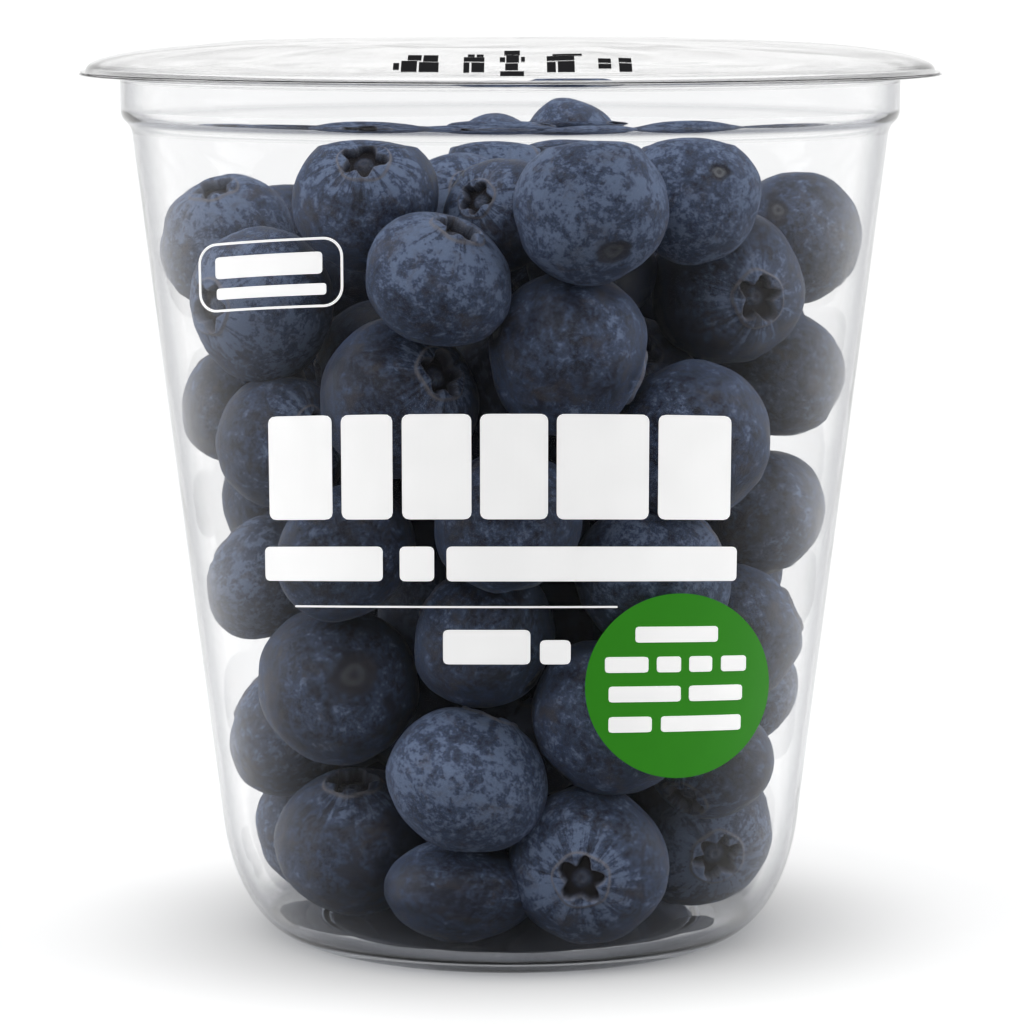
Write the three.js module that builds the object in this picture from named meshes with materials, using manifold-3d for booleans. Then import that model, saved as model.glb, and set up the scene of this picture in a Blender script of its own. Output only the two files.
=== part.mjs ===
// A tall clear plastic tub of fresh blueberries, sealed with a domed clear film.
// Millimetres, +Z up, the tub stands on z = 0 and its axis is the z axis.
// The shown front of the tub faces -Y.

import * as THREE from 'three';
import { mergeVertices } from 'three/addons/utils/BufferGeometryUtils.js';
import Module from 'manifold-3d';

const wasm = await Module();
wasm.setup();

// Corners closer than this are one corner.
const sameCorner = 1e-4;

// Tub sizes. The wall thickens only in the base panel.
const sides = 56;
const cornerSteps = 5;
const flangeDiameter = 95;
const flangeThickness = 0.5;
const rimHeight = 96;
const collarDiameter = 85.8;
const neckFillet = 0.8;
const neckShare = 0.3;
const stepHeight = 90.1;
const stepRise = 1.2;
const stepBend = { inset: 0.25, rise: 0.66, insideLift: 0.2 };
const mouthBend = { inset: 0.1, drop: 0.5 };
const wallSlope = 0.1232;
const standDiameter = 46.8;
const standWidth = 2.2;
const cornerWidth = 9.07;
const cornerHeight = 16.75;
const wallThickness = 0.55;
const baseThickness = 0.9;
const panelLift = 0.8;

// Film sealed on the flange: a shallow dome.
const filmThickness = 0.3;
const filmGap = 0.06;
const filmDiameter = 94.6;
const filmRise = 3.7;
const filmRoundness = 2.5;
const filmSides = 42;
const filmSeal = 0.6;
const filmRings = [0, 18, 30, 38, 43, 45.8, 46.7, filmDiameter / 2];

// Round printed label on the front wall. It looks round from the front, so it is
// wider along the wall, and its level falls a little round the sides.
const labelDiameter = 20.2;
const labelThickness = 0.12;
const labelGap = 0.08;
const labelAcross = 17.9;
const labelHeight = 32.9;
const printFall = 0.135;
const labelRings = 3;
const labelSides = 28;

// Berries.
const berryGap = 0.45;
const floorHeight = panelLift + baseThickness;
const heapTop = 92.4;
const fillTop = 83;
const seenBerryFaces = { sides: 12, bands: 6 };
const fillBerryFaces = { sides: 9, bands: 5 };
const berryFlatness = 0.9;
const crownDepth = 1.3;
const crownSpread = 0.36;
const coreInset = 9.2;
const coreBottom = 7;
const coreTop = 75;
const coreSides = 24;
const coreEase = 3;
const coreRings = 7;
const berrySeed = 20731;
const seenSqueeze = 0.95;
const fillSqueeze = 0.97;
const seenYield = 0.15;
const seenPull = 0.4;
const settleRounds = 260;
const sinkStep = 0.04;
const reachSteps = 6;
const firmRounds = 60;

// Berries that show through the front wall, each as it is seen from the front:
// across and height place its middle, size is its diameter, behind is how far it
// lies back from the front wall, and crown is where its crown points, to the right
// and up. A crown marked away points to the back.
const frontBerries = [
  { across: -15.2, height: 83.0, size: 15.5, behind: 0, crown: [-0.03, 0.68] },
  { across: 7.2, height: 85.2, size: 14.4, behind: 52, crown: [0.9, 0.25] },
  { across: -0.8, height: 84.3, size: 14.0, behind: 42, crown: [0.85, 0.45] },
  { across: -5.2, height: 81.2, size: 13.4, behind: 13, crown: [0.2, 0.5] },
  { across: -1.1, height: 81.4, size: 12.6, behind: 9, crown: [-0.5, 0.4] },
  { across: 8.4, height: 82.5, size: 16.2, behind: 0, crown: [-0.31, 0.56], away: true },
  { across: 19.2, height: 83.6, size: 14.8, behind: 1.5, crown: [-0.4, -0.4], away: true },
  { across: 32.1, height: 77.7, size: 14.8, behind: 0, crown: [0.35, -0.5], away: true },
  { across: -7.5, height: 75.2, size: 15.8, behind: 0, crown: [0.34, 0.86] },
  { across: 23.5, height: 73.1, size: 16.9, behind: 0, crown: [0.41, -0.1] },
  { across: -32.0, height: 77.3, size: 15.5, behind: 0, crown: [-0.2, 0.9] },
  { across: -26.7, height: 71.5, size: 16.8, behind: 0, crown: [-0.77, 0.0] },
  { across: 6.0, height: 67.4, size: 17.7, behind: 1, crown: [0.9, -0.35], away: true },
  { across: -11.7, height: 62.0, size: 17.3, behind: 0, crown: [0.6, 0.43] },
  { across: 30.3, height: 63.0, size: 15.6, behind: 0, crown: [0.6, 0.6], away: true },
  { across: -31.2, height: 59.4, size: 14.6, behind: 0, crown: [-0.5, 0.8], away: true },
  { across: -24.6, height: 56.6, size: 14.8, behind: 0, crown: [0.65, 0.3] },
  { across: 19.2, height: 57.0, size: 16.9, behind: 0, crown: [0.02, -0.02], away: true },
  { across: 28.3, height: 47.0, size: 16.1, behind: 0, crown: [-0.3, 0.92], away: true },
  { across: -0.2, height: 49.4, size: 15.8, behind: 0, crown: [0.4, -0.9], away: true },
  { across: -17.7, height: 45.3, size: 15.9, behind: 0, crown: [0.55, -0.8], away: true },
  { across: -27.9, height: 40.0, size: 14.8, behind: 0, crown: [-0.7, 0.65], away: true },
  { across: 15.3, height: 42.2, size: 17.2, behind: 0, crown: [0.8, 0.58], away: true },
  { across: 24.7, height: 35.0, size: 15.4, behind: 0, crown: [0.92, 0.35], away: true },
  { across: -2.8, height: 36.0, size: 15.8, behind: 1.5, crown: [-0.75, 0.6], away: true },
  { across: -18.7, height: 30.3, size: 17.4, behind: 0, crown: [-0.29, -0.29], away: true },
  { across: -25.7, height: 22.4, size: 15.7, behind: 0, crown: [-0.8, 0.55], away: true },
  { across: 27.2, height: 26.7, size: 13.6, behind: 0, crown: [0.3, -0.93], away: true },
  { across: 10.9, height: 27.6, size: 17.6, behind: 0, crown: [0.7, 0.7], away: true },
  { across: -4.6, height: 20.9, size: 17.6, behind: 0, crown: [0.35, 0.92], away: true },
  { across: -17.0, height: 11.4, size: 17.4, behind: 0, crown: [0.0, 0.95] },
  { across: 8.3, height: 11.9, size: 17.2, behind: 0, crown: [-0.12, -0.06] },
  { across: 20.6, height: 11.4, size: 17.8, behind: 0, crown: [0.3, -0.25] },
  { across: -4.8, height: 9.0, size: 13.6, behind: 0.5, crown: [0.5, 0.8], away: true },
  { across: 15.5, height: 9.6, size: 14.6, behind: 9, crown: [0.6, 0.7], away: true },
  { across: 3.5, height: 73.2, size: 16.4, behind: 46, crown: [0.95, 0], away: true },
];

// Berries that fill the rest: rings from the wall inwards, in layers.
const fillSize = { smallest: 14.2, largest: 17.2 };
const fillLayers = { first: 9.4, rise: 12.9, count: 5, upperTop: 76.5 };
const fillRings = [
  { behind: 0, spacing: 15.6 },
  { behind: 14.6, spacing: 15.2 },
  { behind: 28.5, spacing: 15.2 },
];
const crowding = 0.78;
const ringBerryRadius = 8;
const layerUnevenness = { inner: 4, top: 1.2 };

// Radius of the tub's outside at a height between the base and the step.
const cornerEnd = Math.atan(cornerWidth / (cornerHeight * wallSlope));
const cornerEndHeight = cornerHeight * (1 - Math.cos(cornerEnd));
const cornerEndRadius = standDiameter / 2 + cornerWidth * Math.sin(cornerEnd);

function wallRadius(z) {
  if (z >= cornerEndHeight) {
    return cornerEndRadius + wallSlope * (z - cornerEndHeight);
  }
  const lean = 1 - Math.max(0, z) / cornerHeight;
  return standDiameter / 2 + cornerWidth * Math.sqrt(1 - lean * lean);
}

// Points of the round base corner, moved inwards by an amount, from low to high.
function cornerPoints(inwards, lowest, count) {
  const points = [];
  const start = Math.acos(1 - Math.max(0, lowest - inwards) / cornerHeight);
  for (let i = 0; i <= count; i += 1) {
    const turn = start + (cornerEnd - start) * (i / count);
    const across = cornerWidth * Math.sin(turn);
    const up = cornerHeight * (1 - Math.cos(turn));
    const outX = Math.sin(turn) / cornerWidth;
    const outY = -Math.cos(turn) / cornerHeight;
    const length = Math.hypot(outX, outY);
    points.push(new THREE.Vector2(
      standDiameter / 2 + across - (inwards * outX) / length,
      up - (inwards * outY) / length,
    ));
  }
  return points;
}

// A closed solid turned round the z axis.
function turned(points, count) {
  const geometry = new THREE.LatheGeometry(points, count);
  geometry.rotateX(Math.PI / 2);
  return geometry;
}

function tubGeometry() {
  const standInner = standDiameter / 2 - standWidth;
  const stepRadius = wallRadius(stepHeight);
  const collar = collarDiameter / 2;
  const flange = flangeDiameter / 2;
  const underFlange = rimHeight - flangeThickness;
  const points = [
    new THREE.Vector2(0, panelLift),
    new THREE.Vector2(standInner - panelLift, panelLift),
    new THREE.Vector2(standInner, 0),
    ...cornerPoints(0, 0, cornerSteps),
    new THREE.Vector2(stepRadius, stepHeight),
    new THREE.Vector2(collar - stepBend.inset, stepHeight + stepBend.rise),
    new THREE.Vector2(collar, stepHeight + stepRise),
    new THREE.Vector2(collar, underFlange - neckFillet),
    new THREE.Vector2(collar + neckFillet * neckShare, underFlange - neckFillet * neckShare),
    new THREE.Vector2(collar + neckFillet, underFlange),
    new THREE.Vector2(flange - flangeThickness / 2, underFlange),
    new THREE.Vector2(flange, rimHeight - flangeThickness / 2),
    new THREE.Vector2(flange - flangeThickness / 2, rimHeight),
    new THREE.Vector2(collar + mouthBend.inset, rimHeight),
    new THREE.Vector2(collar - wallThickness, rimHeight - mouthBend.drop),
    new THREE.Vector2(collar - wallThickness, stepHeight + stepRise + stepBend.insideLift),
    new THREE.Vector2(
      collar - wallThickness - stepBend.inset,
      stepHeight + stepBend.rise + stepBend.insideLift,
    ),
    new THREE.Vector2(stepRadius - wallThickness, stepHeight),
    ...cornerPoints(wallThickness, floorHeight, cornerSteps).reverse(),
    new THREE.Vector2(0, floorHeight),
  ];
  return turned(points, sides);
}

// The sealing film: a flat rim on the flange, then a shallow round dome.
function filmHeight(radius) {
  const share = Math.min(1, radius / (filmDiameter / 2 - filmSeal));
  return filmRise * (1 - share ** filmRoundness) ** (1 / filmRoundness);
}

function filmGeometry() {
  const bottom = rimHeight + filmGap;
  const lower = filmRings.map((radius) => new THREE.Vector2(radius, bottom + filmHeight(radius)));
  const upper = filmRings.map((radius) => (
    new THREE.Vector2(radius, bottom + filmThickness + filmHeight(radius))
  ));
  return turned([...lower, ...upper.reverse()], filmSides);
}

// The round label: a thin disc bent to the wall.
function labelGeometry() {
  const positions = [];
  const place = (share, turn, off) => {
    const half = (labelDiameter / 2) * share;
    const level = labelHeight + half * Math.sin(turn);
    const angle = Math.asin((labelAcross + half * Math.cos(turn)) / wallRadius(level));
    const z = level - printFall * wallRadius(level) * (1 - Math.cos(angle));
    const radius = wallRadius(z) + off;
    return new THREE.Vector3(radius * Math.sin(angle), -radius * Math.cos(angle), z);
  };
  const quad = (a, b, c, d) => {
    [a, b, c, a, c, d].forEach((point) => positions.push(point.x, point.y, point.z));
  };
  const outer = labelGap + labelThickness;
  for (let i = 0; i < labelSides; i += 1) {
    const from = (2 * Math.PI * i) / labelSides;
    const to = (2 * Math.PI * ((i + 1) % labelSides)) / labelSides;
    const wedge = (off) => [
      place(0, 0, off), place(1 / labelRings, from, off), place(1 / labelRings, to, off),
    ];
    wedge(outer).forEach((point) => positions.push(point.x, point.y, point.z));
    wedge(labelGap).reverse().forEach((point) => positions.push(point.x, point.y, point.z));
    for (let ring = 1; ring < labelRings; ring += 1) {
      const inside = ring / labelRings;
      const outside = (ring + 1) / labelRings;
      quad(place(inside, from, outer), place(outside, from, outer),
        place(outside, to, outer), place(inside, to, outer));
      quad(place(inside, from, labelGap), place(inside, to, labelGap),
        place(outside, to, labelGap), place(outside, from, labelGap));
    }
    quad(place(1, from, labelGap), place(1, to, labelGap), place(1, to, outer), place(1, from, outer));
  }
  const geometry = new THREE.BufferGeometry();
  geometry.setAttribute('position', new THREE.Float32BufferAttribute(positions, 3));
  return mergeVertices(geometry, sameCorner);
}

// Even numbers from 0 to 1 that are the same each time.
const randomFactor = 16807;
const randomRange = 2147483647;

function makeRandom(seed) {
  let state = seed;
  return () => {
    state = (state * randomFactor) % randomRange;
    return state / randomRange;
  };
}

// How far a berry's middle may lie from the axis at a height.
function reach(z, radius) {
  const lean = Math.sqrt(1 + wallSlope * wallSlope);
  let limit = wallRadius(z) - wallThickness - berryGap - radius * lean;
  for (let i = 1; i <= reachSteps; i += 1) {
    const down = (radius * i) / reachSteps;
    const half = Math.sqrt(Math.max(0, radius * radius - down * down));
    limit = Math.min(limit, wallRadius(z - down) - wallThickness - berryGap - half);
  }
  return Math.max(0, limit);
}

function placeFrontBerries() {
  return frontBerries.map(({ across, height, size, behind, crown, away }) => {
    const radius = size / 2;
    const ring = reach(height, radius);
    const depth = Math.sqrt(Math.max(0, ring * ring - across * across)) - behind;
    const facing = Math.sqrt(Math.max(0, 1 - crown[0] ** 2 - crown[1] ** 2));
    return {
      x: across,
      y: -depth,
      z: height,
      radius,
      seen: { x: across, z: height },
      axis: [crown[0], away ? facing : -facing, crown[1]],
    };
  });
}

function placeFillBerries(berries, random) {
  for (let layer = 0; layer <= fillLayers.count; layer += 1) {
    const top = layer === fillLayers.count;
    const level = top ? fillLayers.upperTop : fillLayers.first + fillLayers.rise * layer;
    for (const { behind, spacing } of fillRings) {
      const ring = Math.max(0, reach(level, ringBerryRadius) - behind);
      const count = Math.max(1, Math.round((2 * Math.PI * ring) / spacing));
      const start = random() * 2 * Math.PI;
      for (let i = 0; i < count; i += 1) {
        const size = fillSize.smallest + (fillSize.largest - fillSize.smallest) * random();
        const turn = start + (2 * Math.PI * i) / count;
        const z = level + (random() - 0.5) * (top ? layerUnevenness.top : layerUnevenness.inner);
        const up = 2 * random() - 1;
        const round = 2 * Math.PI * random();
        const flat = Math.sqrt(1 - up * up);
        const x = ring * Math.sin(turn);
        const y = -ring * Math.cos(turn);
        const free = berries.every((other) => (
          Math.hypot(other.x - x, other.y - y, other.z - z) > crowding * (other.radius + size / 2)
        ));
        if (free) {
          berries.push({
            x, y, z, radius: size / 2, seen: null, axis: [flat * Math.cos(round), flat * Math.sin(round), up],
          });
        }
      }
    }
  }
}

// Pushes berries apart until they only touch, and keeps them inside the tub.
function settle(berries) {
  for (let round = 0; round < settleRounds; round += 1) {
    const firm = round >= settleRounds - firmRounds;
    for (let i = 0; i < berries.length; i += 1) {
      for (let j = i + 1; j < berries.length; j += 1) {
        const a = berries[i];
        const b = berries[j];
        const apart = [b.x - a.x, b.y - a.y, b.z - a.z];
        const distance = Math.sqrt(apart[0] ** 2 + apart[1] ** 2 + apart[2] ** 2);
        const overlap = (a.radius + b.radius) * (a.seen && b.seen ? seenSqueeze : fillSqueeze) - distance;
        if (overlap > 0) {
          const share = b.seen ? 1 - seenYield : seenYield;
          const shareA = Boolean(a.seen) === Boolean(b.seen) ? 0.5 : share;
          const pushA = (shareA * overlap) / distance;
          const pushB = ((1 - shareA) * overlap) / distance;
          a.x -= apart[0] * pushA;
          a.y -= apart[1] * pushA;
          a.z -= apart[2] * pushA;
          b.x += apart[0] * pushB;
          b.y += apart[1] * pushB;
          b.z += apart[2] * pushB;
        }
      }
    }
    for (const berry of berries) {
      if (berry.seen) {
        berry.x += (berry.seen.x - berry.x) * seenPull;
        berry.z += (berry.seen.z - berry.z) * seenPull;
      } else if (!firm) {
        berry.z -= sinkStep;
      }
      const highest = (berry.seen ? heapTop : fillTop) - berry.radius;
      berry.z = Math.min(highest, Math.max(floorHeight + berryGap + berry.radius, berry.z));
      const limit = reach(berry.z, berry.radius);
      const out = Math.sqrt(berry.x ** 2 + berry.y ** 2);
      if (out > limit) {
        berry.x *= limit / out;
        berry.y *= limit / out;
      }
    }
  }
}

function packedBerries() {
  const berries = placeFrontBerries();
  placeFillBerries(berries, makeRandom(berrySeed));
  settle(berries);
  return berries;
}

// A few-sided flattened berry, turned round its axis, with a round crown pit.
function berryGeometry(berry) {
  const { sides: around, bands } = berry.seen ? seenBerryFaces : fillBerryFaces;
  const height = berry.radius * berryFlatness;
  const points = [new THREE.Vector2(0, -height)];
  for (let i = 1; i <= bands; i += 1) {
    const turn = Math.PI - ((Math.PI - crownSpread) * i) / bands;
    points.push(new THREE.Vector2(berry.radius * Math.sin(turn), height * Math.cos(turn)));
  }
  points.push(new THREE.Vector2(0, height - crownDepth));
  const geometry = closedGeometry(turned(points, around));
  const up = new THREE.Vector3(0, 0, 1);
  const axis = new THREE.Vector3(...berry.axis).normalize();
  geometry.applyQuaternion(new THREE.Quaternion().setFromUnitVectors(up, axis));
  geometry.translate(berry.x, berry.y, berry.z);
  return geometry;
}

// Keeps only the places of a geometry's corners, with shared corners joined.
function closedGeometry(geometry) {
  geometry.deleteAttribute('normal');
  geometry.deleteAttribute('uv');
  return mergeVertices(geometry, sameCorner);
}

// The middle of the heap: it follows the wall, well inside it.
function coreGeometry() {
  const points = [new THREE.Vector2(0, coreBottom)];
  for (let i = 0; i <= coreRings; i += 1) {
    const z = coreBottom + ((coreTop - coreBottom) * i) / coreRings;
    const ease = i === 0 ? coreEase : 0;
    points.push(new THREE.Vector2(wallRadius(z) - coreInset - ease, z));
  }
  points.push(new THREE.Vector2(0, coreTop));
  return closedGeometry(turned(points, coreSides));
}

function toSolid(geometry) {
  const vertProperties = new Float32Array(geometry.getAttribute('position').array);
  const index = geometry.getIndex().array;
  const triVerts = [];
  for (let i = 0; i < index.length; i += 3) {
    const [a, b, c] = [index[i], index[i + 1], index[i + 2]];
    if (a !== b && b !== c && c !== a) {
      triVerts.push(a, b, c);
    }
  }
  return new wasm.Manifold(new wasm.Mesh({
    numProp: 3, vertProperties, triVerts: new Uint32Array(triVerts),
  }));
}

function toGeometry(solid) {
  const mesh = solid.getMesh();
  const geometry = new THREE.BufferGeometry();
  geometry.setAttribute('position', new THREE.BufferAttribute(mesh.vertProperties, 3));
  geometry.setIndex(new THREE.BufferAttribute(mesh.triVerts, 1));
  return geometry;
}

// The heap: the core with every berry fused on.
function heapGeometry() {
  let heap = toSolid(coreGeometry());
  for (const berry of packedBerries()) {
    heap = heap.add(toSolid(berryGeometry(berry)));
  }
  return toGeometry(heap);
}

const clearPlastic = new THREE.MeshStandardMaterial({
  color: 0xf2f4f5, roughness: 0.08, metalness: 0, transparent: true, opacity: 0.3,
});
const clearFilm = new THREE.MeshStandardMaterial({
  color: 0xf7f8f9, roughness: 0.06, metalness: 0, transparent: true, opacity: 0.25,
});
const berrySkin = new THREE.MeshStandardMaterial({ color: 0x46506a, roughness: 0.7, metalness: 0 });
const greenPrint = new THREE.MeshStandardMaterial({ color: 0x2c7819, roughness: 0.45, metalness: 0 });

function piece(name, geometry, material) {
  const mesh = new THREE.Mesh(geometry, material);
  mesh.name = name;
  return mesh;
}

const group = new THREE.Group();
group.add(piece('tub', tubGeometry(), clearPlastic));
group.add(piece('berries', heapGeometry(), berrySkin));
group.add(piece('lid_film', filmGeometry(), clearFilm));
group.add(piece('round_label', labelGeometry(), greenPrint));

export default group;
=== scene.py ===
"""Looks of a tall clear tub of blueberries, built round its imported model.

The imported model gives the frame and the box. The tub, the sealing film, the round
print and the heap of berries are remade here at the same sizes with their fine shape
and finish. Sizes are in millimetres until a mesh is made, and then in metres.
"""

import logging
import math
from dataclasses import dataclass, field
from enum import Enum
from typing import Callable

import bpy
import numpy as np
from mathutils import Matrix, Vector


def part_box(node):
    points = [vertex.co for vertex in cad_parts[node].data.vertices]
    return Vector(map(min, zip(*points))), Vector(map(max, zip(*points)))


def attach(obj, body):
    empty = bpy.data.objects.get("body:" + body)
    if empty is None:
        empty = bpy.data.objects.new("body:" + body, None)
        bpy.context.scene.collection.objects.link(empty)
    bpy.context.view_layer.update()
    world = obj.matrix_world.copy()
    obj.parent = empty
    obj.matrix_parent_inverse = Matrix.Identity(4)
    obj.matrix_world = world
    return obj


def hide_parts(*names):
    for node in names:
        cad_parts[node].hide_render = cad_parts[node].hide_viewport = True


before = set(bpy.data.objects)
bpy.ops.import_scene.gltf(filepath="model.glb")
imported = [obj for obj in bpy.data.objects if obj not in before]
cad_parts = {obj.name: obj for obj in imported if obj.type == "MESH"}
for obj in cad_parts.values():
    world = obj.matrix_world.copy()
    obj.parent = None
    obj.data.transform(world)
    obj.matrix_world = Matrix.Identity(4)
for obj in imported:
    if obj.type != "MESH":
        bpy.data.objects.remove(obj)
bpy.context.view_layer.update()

MM = 0.001
INK_THICKNESS = 0.05
BODY = "root"
SHADE_MAP = "clear_shade"
BERRY_SHADE_MAP = "berry_painted_shade"
LOG = logging.getLogger("blueberry_tub")

Point = tuple[float, float]
Place = tuple[float, float, float]
Colour = tuple[float, float, float, float]
Faces = list[tuple[int, ...]]
Shaped = tuple[np.ndarray, np.ndarray, np.ndarray]


def grey(level: float) -> Colour:
    """Returns a neutral linear colour."""
    return (level, level, level, 1.0)


def smooth_step(low: float, high: float, value: np.ndarray) -> np.ndarray:
    """Eases from 0 at low to 1 at high.

    Args:
        low: Where the ease starts.
        high: Where the ease ends.
        value: The values to ease.

    Returns:
        The eased values, from 0 to 1.
    """
    share = np.clip((value - low) / (high - low), 0.0, 1.0)
    return share * share * (3.0 - 2.0 * share)


def hump(middle: float, width: float, value: np.ndarray) -> np.ndarray:
    """Returns a bell curve of height 1 round a middle."""
    return np.exp(-(((value - middle) / width) ** 2))


class Draws:
    """Even numbers from 0 to 1 that are the same each run."""

    def __init__(self, seed: int) -> None:
        """Starts the row of numbers at a seed."""
        self.state = seed

    def __call__(self) -> float:
        """Returns the next number."""
        self.state = (self.state * 16807) % 2147483647
        return self.state / 2147483647


@dataclass(frozen=True)
class TubShape:
    """Sizes of the tub, in millimetres, and the curve of its wall."""

    flange_radius: float = round(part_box("tub")[1].x / MM, 3)
    rim_height: float = round(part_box("tub")[1].z / MM, 3)
    flange_thickness: float = 0.5
    lip_thickness: float = 0.16
    collar_radius: float = 42.9
    step_height: float = 90.1
    step_rise: float = 1.2
    wall_slope: float = 0.1232
    stand_radius: float = 23.4
    stand_width: float = 2.2
    corner_width: float = 9.07
    corner_height: float = 16.75
    wall: float = 0.55
    base: float = 0.9
    panel_lift: float = 0.8

    @property
    def corner_end(self) -> float:
        """The turn along the base corner where it meets the straight wall."""
        return math.atan(self.corner_width / (self.corner_height * self.wall_slope))

    @property
    def floor_height(self) -> float:
        """The height of the inside of the base."""
        return self.panel_lift + self.base

    def wall_radius(self, z: float) -> float:
        """Returns the outer radius of the wall.

        Args:
            z: A height between the base and the step.

        Returns:
            The radius in millimetres.
        """
        end_height = self.corner_height * (1 - math.cos(self.corner_end))
        if z >= end_height:
            end_radius = self.stand_radius + self.corner_width * math.sin(self.corner_end)
            return end_radius + self.wall_slope * (z - end_height)
        lean = 1 - max(0.0, z) / self.corner_height
        return self.stand_radius + self.corner_width * math.sqrt(1 - lean * lean)

    def corner(self, inwards: float, lowest: float, count: int) -> list[Point]:
        """Returns points of the base corner.

        Args:
            inwards: How far inside the outer face the points lie.
            lowest: The height that the curve starts from.
            count: The number of steps.

        Returns:
            Radius and height of each point, from low to high.
        """
        points = []
        start = math.acos(1 - max(0.0, lowest - inwards) / self.corner_height)
        for i in range(count + 1):
            turn = start + (self.corner_end - start) * i / count
            out = (math.sin(turn) / self.corner_width, -math.cos(turn) / self.corner_height)
            length = math.hypot(*out)
            points.append((
                self.stand_radius + self.corner_width * math.sin(turn) - inwards * out[0] / length,
                self.corner_height * (1 - math.cos(turn)) - inwards * out[1] / length,
            ))
        return points


TUB = TubShape()


def rounded(corners: list[Place], steps: int = 6) -> list[Point]:
    """Rounds the corners of an open outline.

    Args:
        corners: Radius, height and rounding of each corner.
        steps: The number of steps in each round.

    Returns:
        The points of the rounded outline.
    """
    points: list[Point] = []
    for i, (x, y, size) in enumerate(corners):
        if size <= 0 or i in (0, len(corners) - 1):
            points.append((x, y))
            continue
        here = Vector((x, y))
        before = Vector(corners[i - 1][:2]) - here
        after = Vector(corners[i + 1][:2]) - here
        reach = min(size, 0.48 * before.length, 0.48 * after.length)
        start = here + before.normalized() * reach
        end = here + after.normalized() * reach
        for k in range(steps + 1):
            t = k / steps
            bend = start * (1 - t) ** 2 + here * (2 * t * (1 - t)) + end * t**2
            points.append((bend.x, bend.y))
    return points


def new_object(name: str, places: np.ndarray, faces: Faces) -> bpy.types.Object:
    """Makes a smooth mesh object.

    Args:
        name: The object's name.
        places: Corners in millimetres, one row each.
        faces: The corner numbers of each face.

    Returns:
        The object, linked to the scene.
    """
    mesh = bpy.data.meshes.new(name)
    mesh.from_pydata((places * MM).tolist(), [], faces)
    mesh.polygons.foreach_set("use_smooth", [True] * len(mesh.polygons))
    mesh.update()
    item = bpy.data.objects.new(name, mesh)
    bpy.context.scene.collection.objects.link(item)
    return item


def turned(name: str, outline: list[Point], sides: int,
           lift: Callable[[np.ndarray, np.ndarray], np.ndarray] | None = None) -> bpy.types.Object:
    """Turns an outline that starts and ends on the axis into a closed mesh.

    Args:
        name: The object's name.
        outline: Radius and height of each point, up the outside and down the inside.
        sides: The number of steps round the axis.
        lift: Gives an extra height for radii and turns.

    Returns:
        The new object.
    """
    inner = np.array(outline[1:-1], float)
    turns = 2 * math.pi * np.arange(sides) / sides
    radius = np.repeat(inner[:, 0], sides)
    height = np.repeat(inner[:, 1], sides)
    turn = np.tile(turns, len(inner))
    places = np.column_stack([radius * np.sin(turn), -radius * np.cos(turn), height])
    if lift is not None:
        places[:, 2] += lift(radius, turn)
    ends = np.array([[0, 0, outline[0][1]], [0, 0, outline[-1][1]]], float)
    if lift is not None:
        ends[:, 2] += lift(np.zeros(2), np.zeros(2))
    faces: Faces = []
    for ring in range(len(inner) - 1):
        low = ring * sides
        for i in range(sides):
            j = (i + 1) % sides
            faces.append((low + i, low + j, low + sides + j, low + sides + i))
    first, last = len(places), len(places) + 1
    top = (len(inner) - 1) * sides
    for i in range(sides):
        j = (i + 1) % sides
        faces.append((first, j, i))
        faces.append((last, top + i, top + j))
    return new_object(name, np.vstack([places, ends]), faces)


class Shader:
    """Adds shader nodes to one tree and joins them."""

    def __init__(self, tree: bpy.types.NodeTree) -> None:
        """Keeps the tree that the nodes go into."""
        self.tree = tree

    def add(self, kind: str, inputs: dict | None = None, **settings: object) -> bpy.types.Node:
        """Adds a node.

        Args:
            kind: The node's type without its first words, such as TexNoise.
            inputs: Input names or numbers, each with a value or an output to join.
            settings: Properties of the node.

        Returns:
            The new node.
        """
        node = self.tree.nodes.new("ShaderNode" + kind)
        for name, value in settings.items():
            setattr(node, name, value)
        for name, value in (inputs or {}).items():
            socket = node.inputs[name]
            if isinstance(value, bpy.types.NodeSocket):
                self.tree.links.new(value, socket)
            else:
                socket.default_value = value
        return node

    def maths(self, operation: str, a: object, b: object = 0.0, clamp: bool = False) -> object:
        """Returns the output of a Math node on two values or outputs."""
        return self.add("Math", {0: a, 1: b}, operation=operation, use_clamp=clamp).outputs[0]

    def scaled(self, value: object, low: float, high: float, to_low: float = 0.0,
               to_high: float = 1.0) -> object:
        """Returns a value moved from one range to another and kept inside it.

        Args:
            value: The value or output to move.
            low: Where its range starts.
            high: Where its range ends.
            to_low: What low becomes.
            to_high: What high becomes.

        Returns:
            The output with the new value.
        """
        node = self.add("MapRange", {
            "Value": value, "From Min": low, "From Max": high, "To Min": to_low, "To Max": to_high,
        }, interpolation_type="SMOOTHSTEP")
        return node.outputs["Result"]

    def mixed(self, share: object, first: object, second: object) -> object:
        """Returns a colour mixed from two colours by a share."""
        node = self.add("Mix", {0: share, 6: first, 7: second}, data_type="RGBA")
        return node.outputs[2]

    def noise(self, place: object, scale: float, detail: float = 4.0, rough: float = 0.55,
              warp: float = 0.0) -> object:
        """Returns the value of a noise texture at a place.

        Args:
            place: The output with the place.
            scale: How close the pattern is.
            detail: How many finer layers it has.
            rough: How strong those are.
            warp: How far it is bent.

        Returns:
            The output with the value.
        """
        node = self.add("TexNoise", {
            "Vector": place, "Scale": scale, "Detail": detail, "Roughness": rough,
            "Distortion": warp,
        })
        return node.outputs[0]

    def shifted(self, place: object, size: object, offset: object) -> object:
        """Returns a place times a size plus an offset, all vectors."""
        node = self.add("VectorMath", {0: place, 1: size, 2: offset}, operation="MULTIPLY_ADD")
        return node.outputs[0]


class Effect(Enum):
    """Effects that more than one finish uses, each one a node group."""

    BLOOM = "waxy_bloom"
    FLOW = "moulded_flow"
    WEAR = "print_wear"


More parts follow.
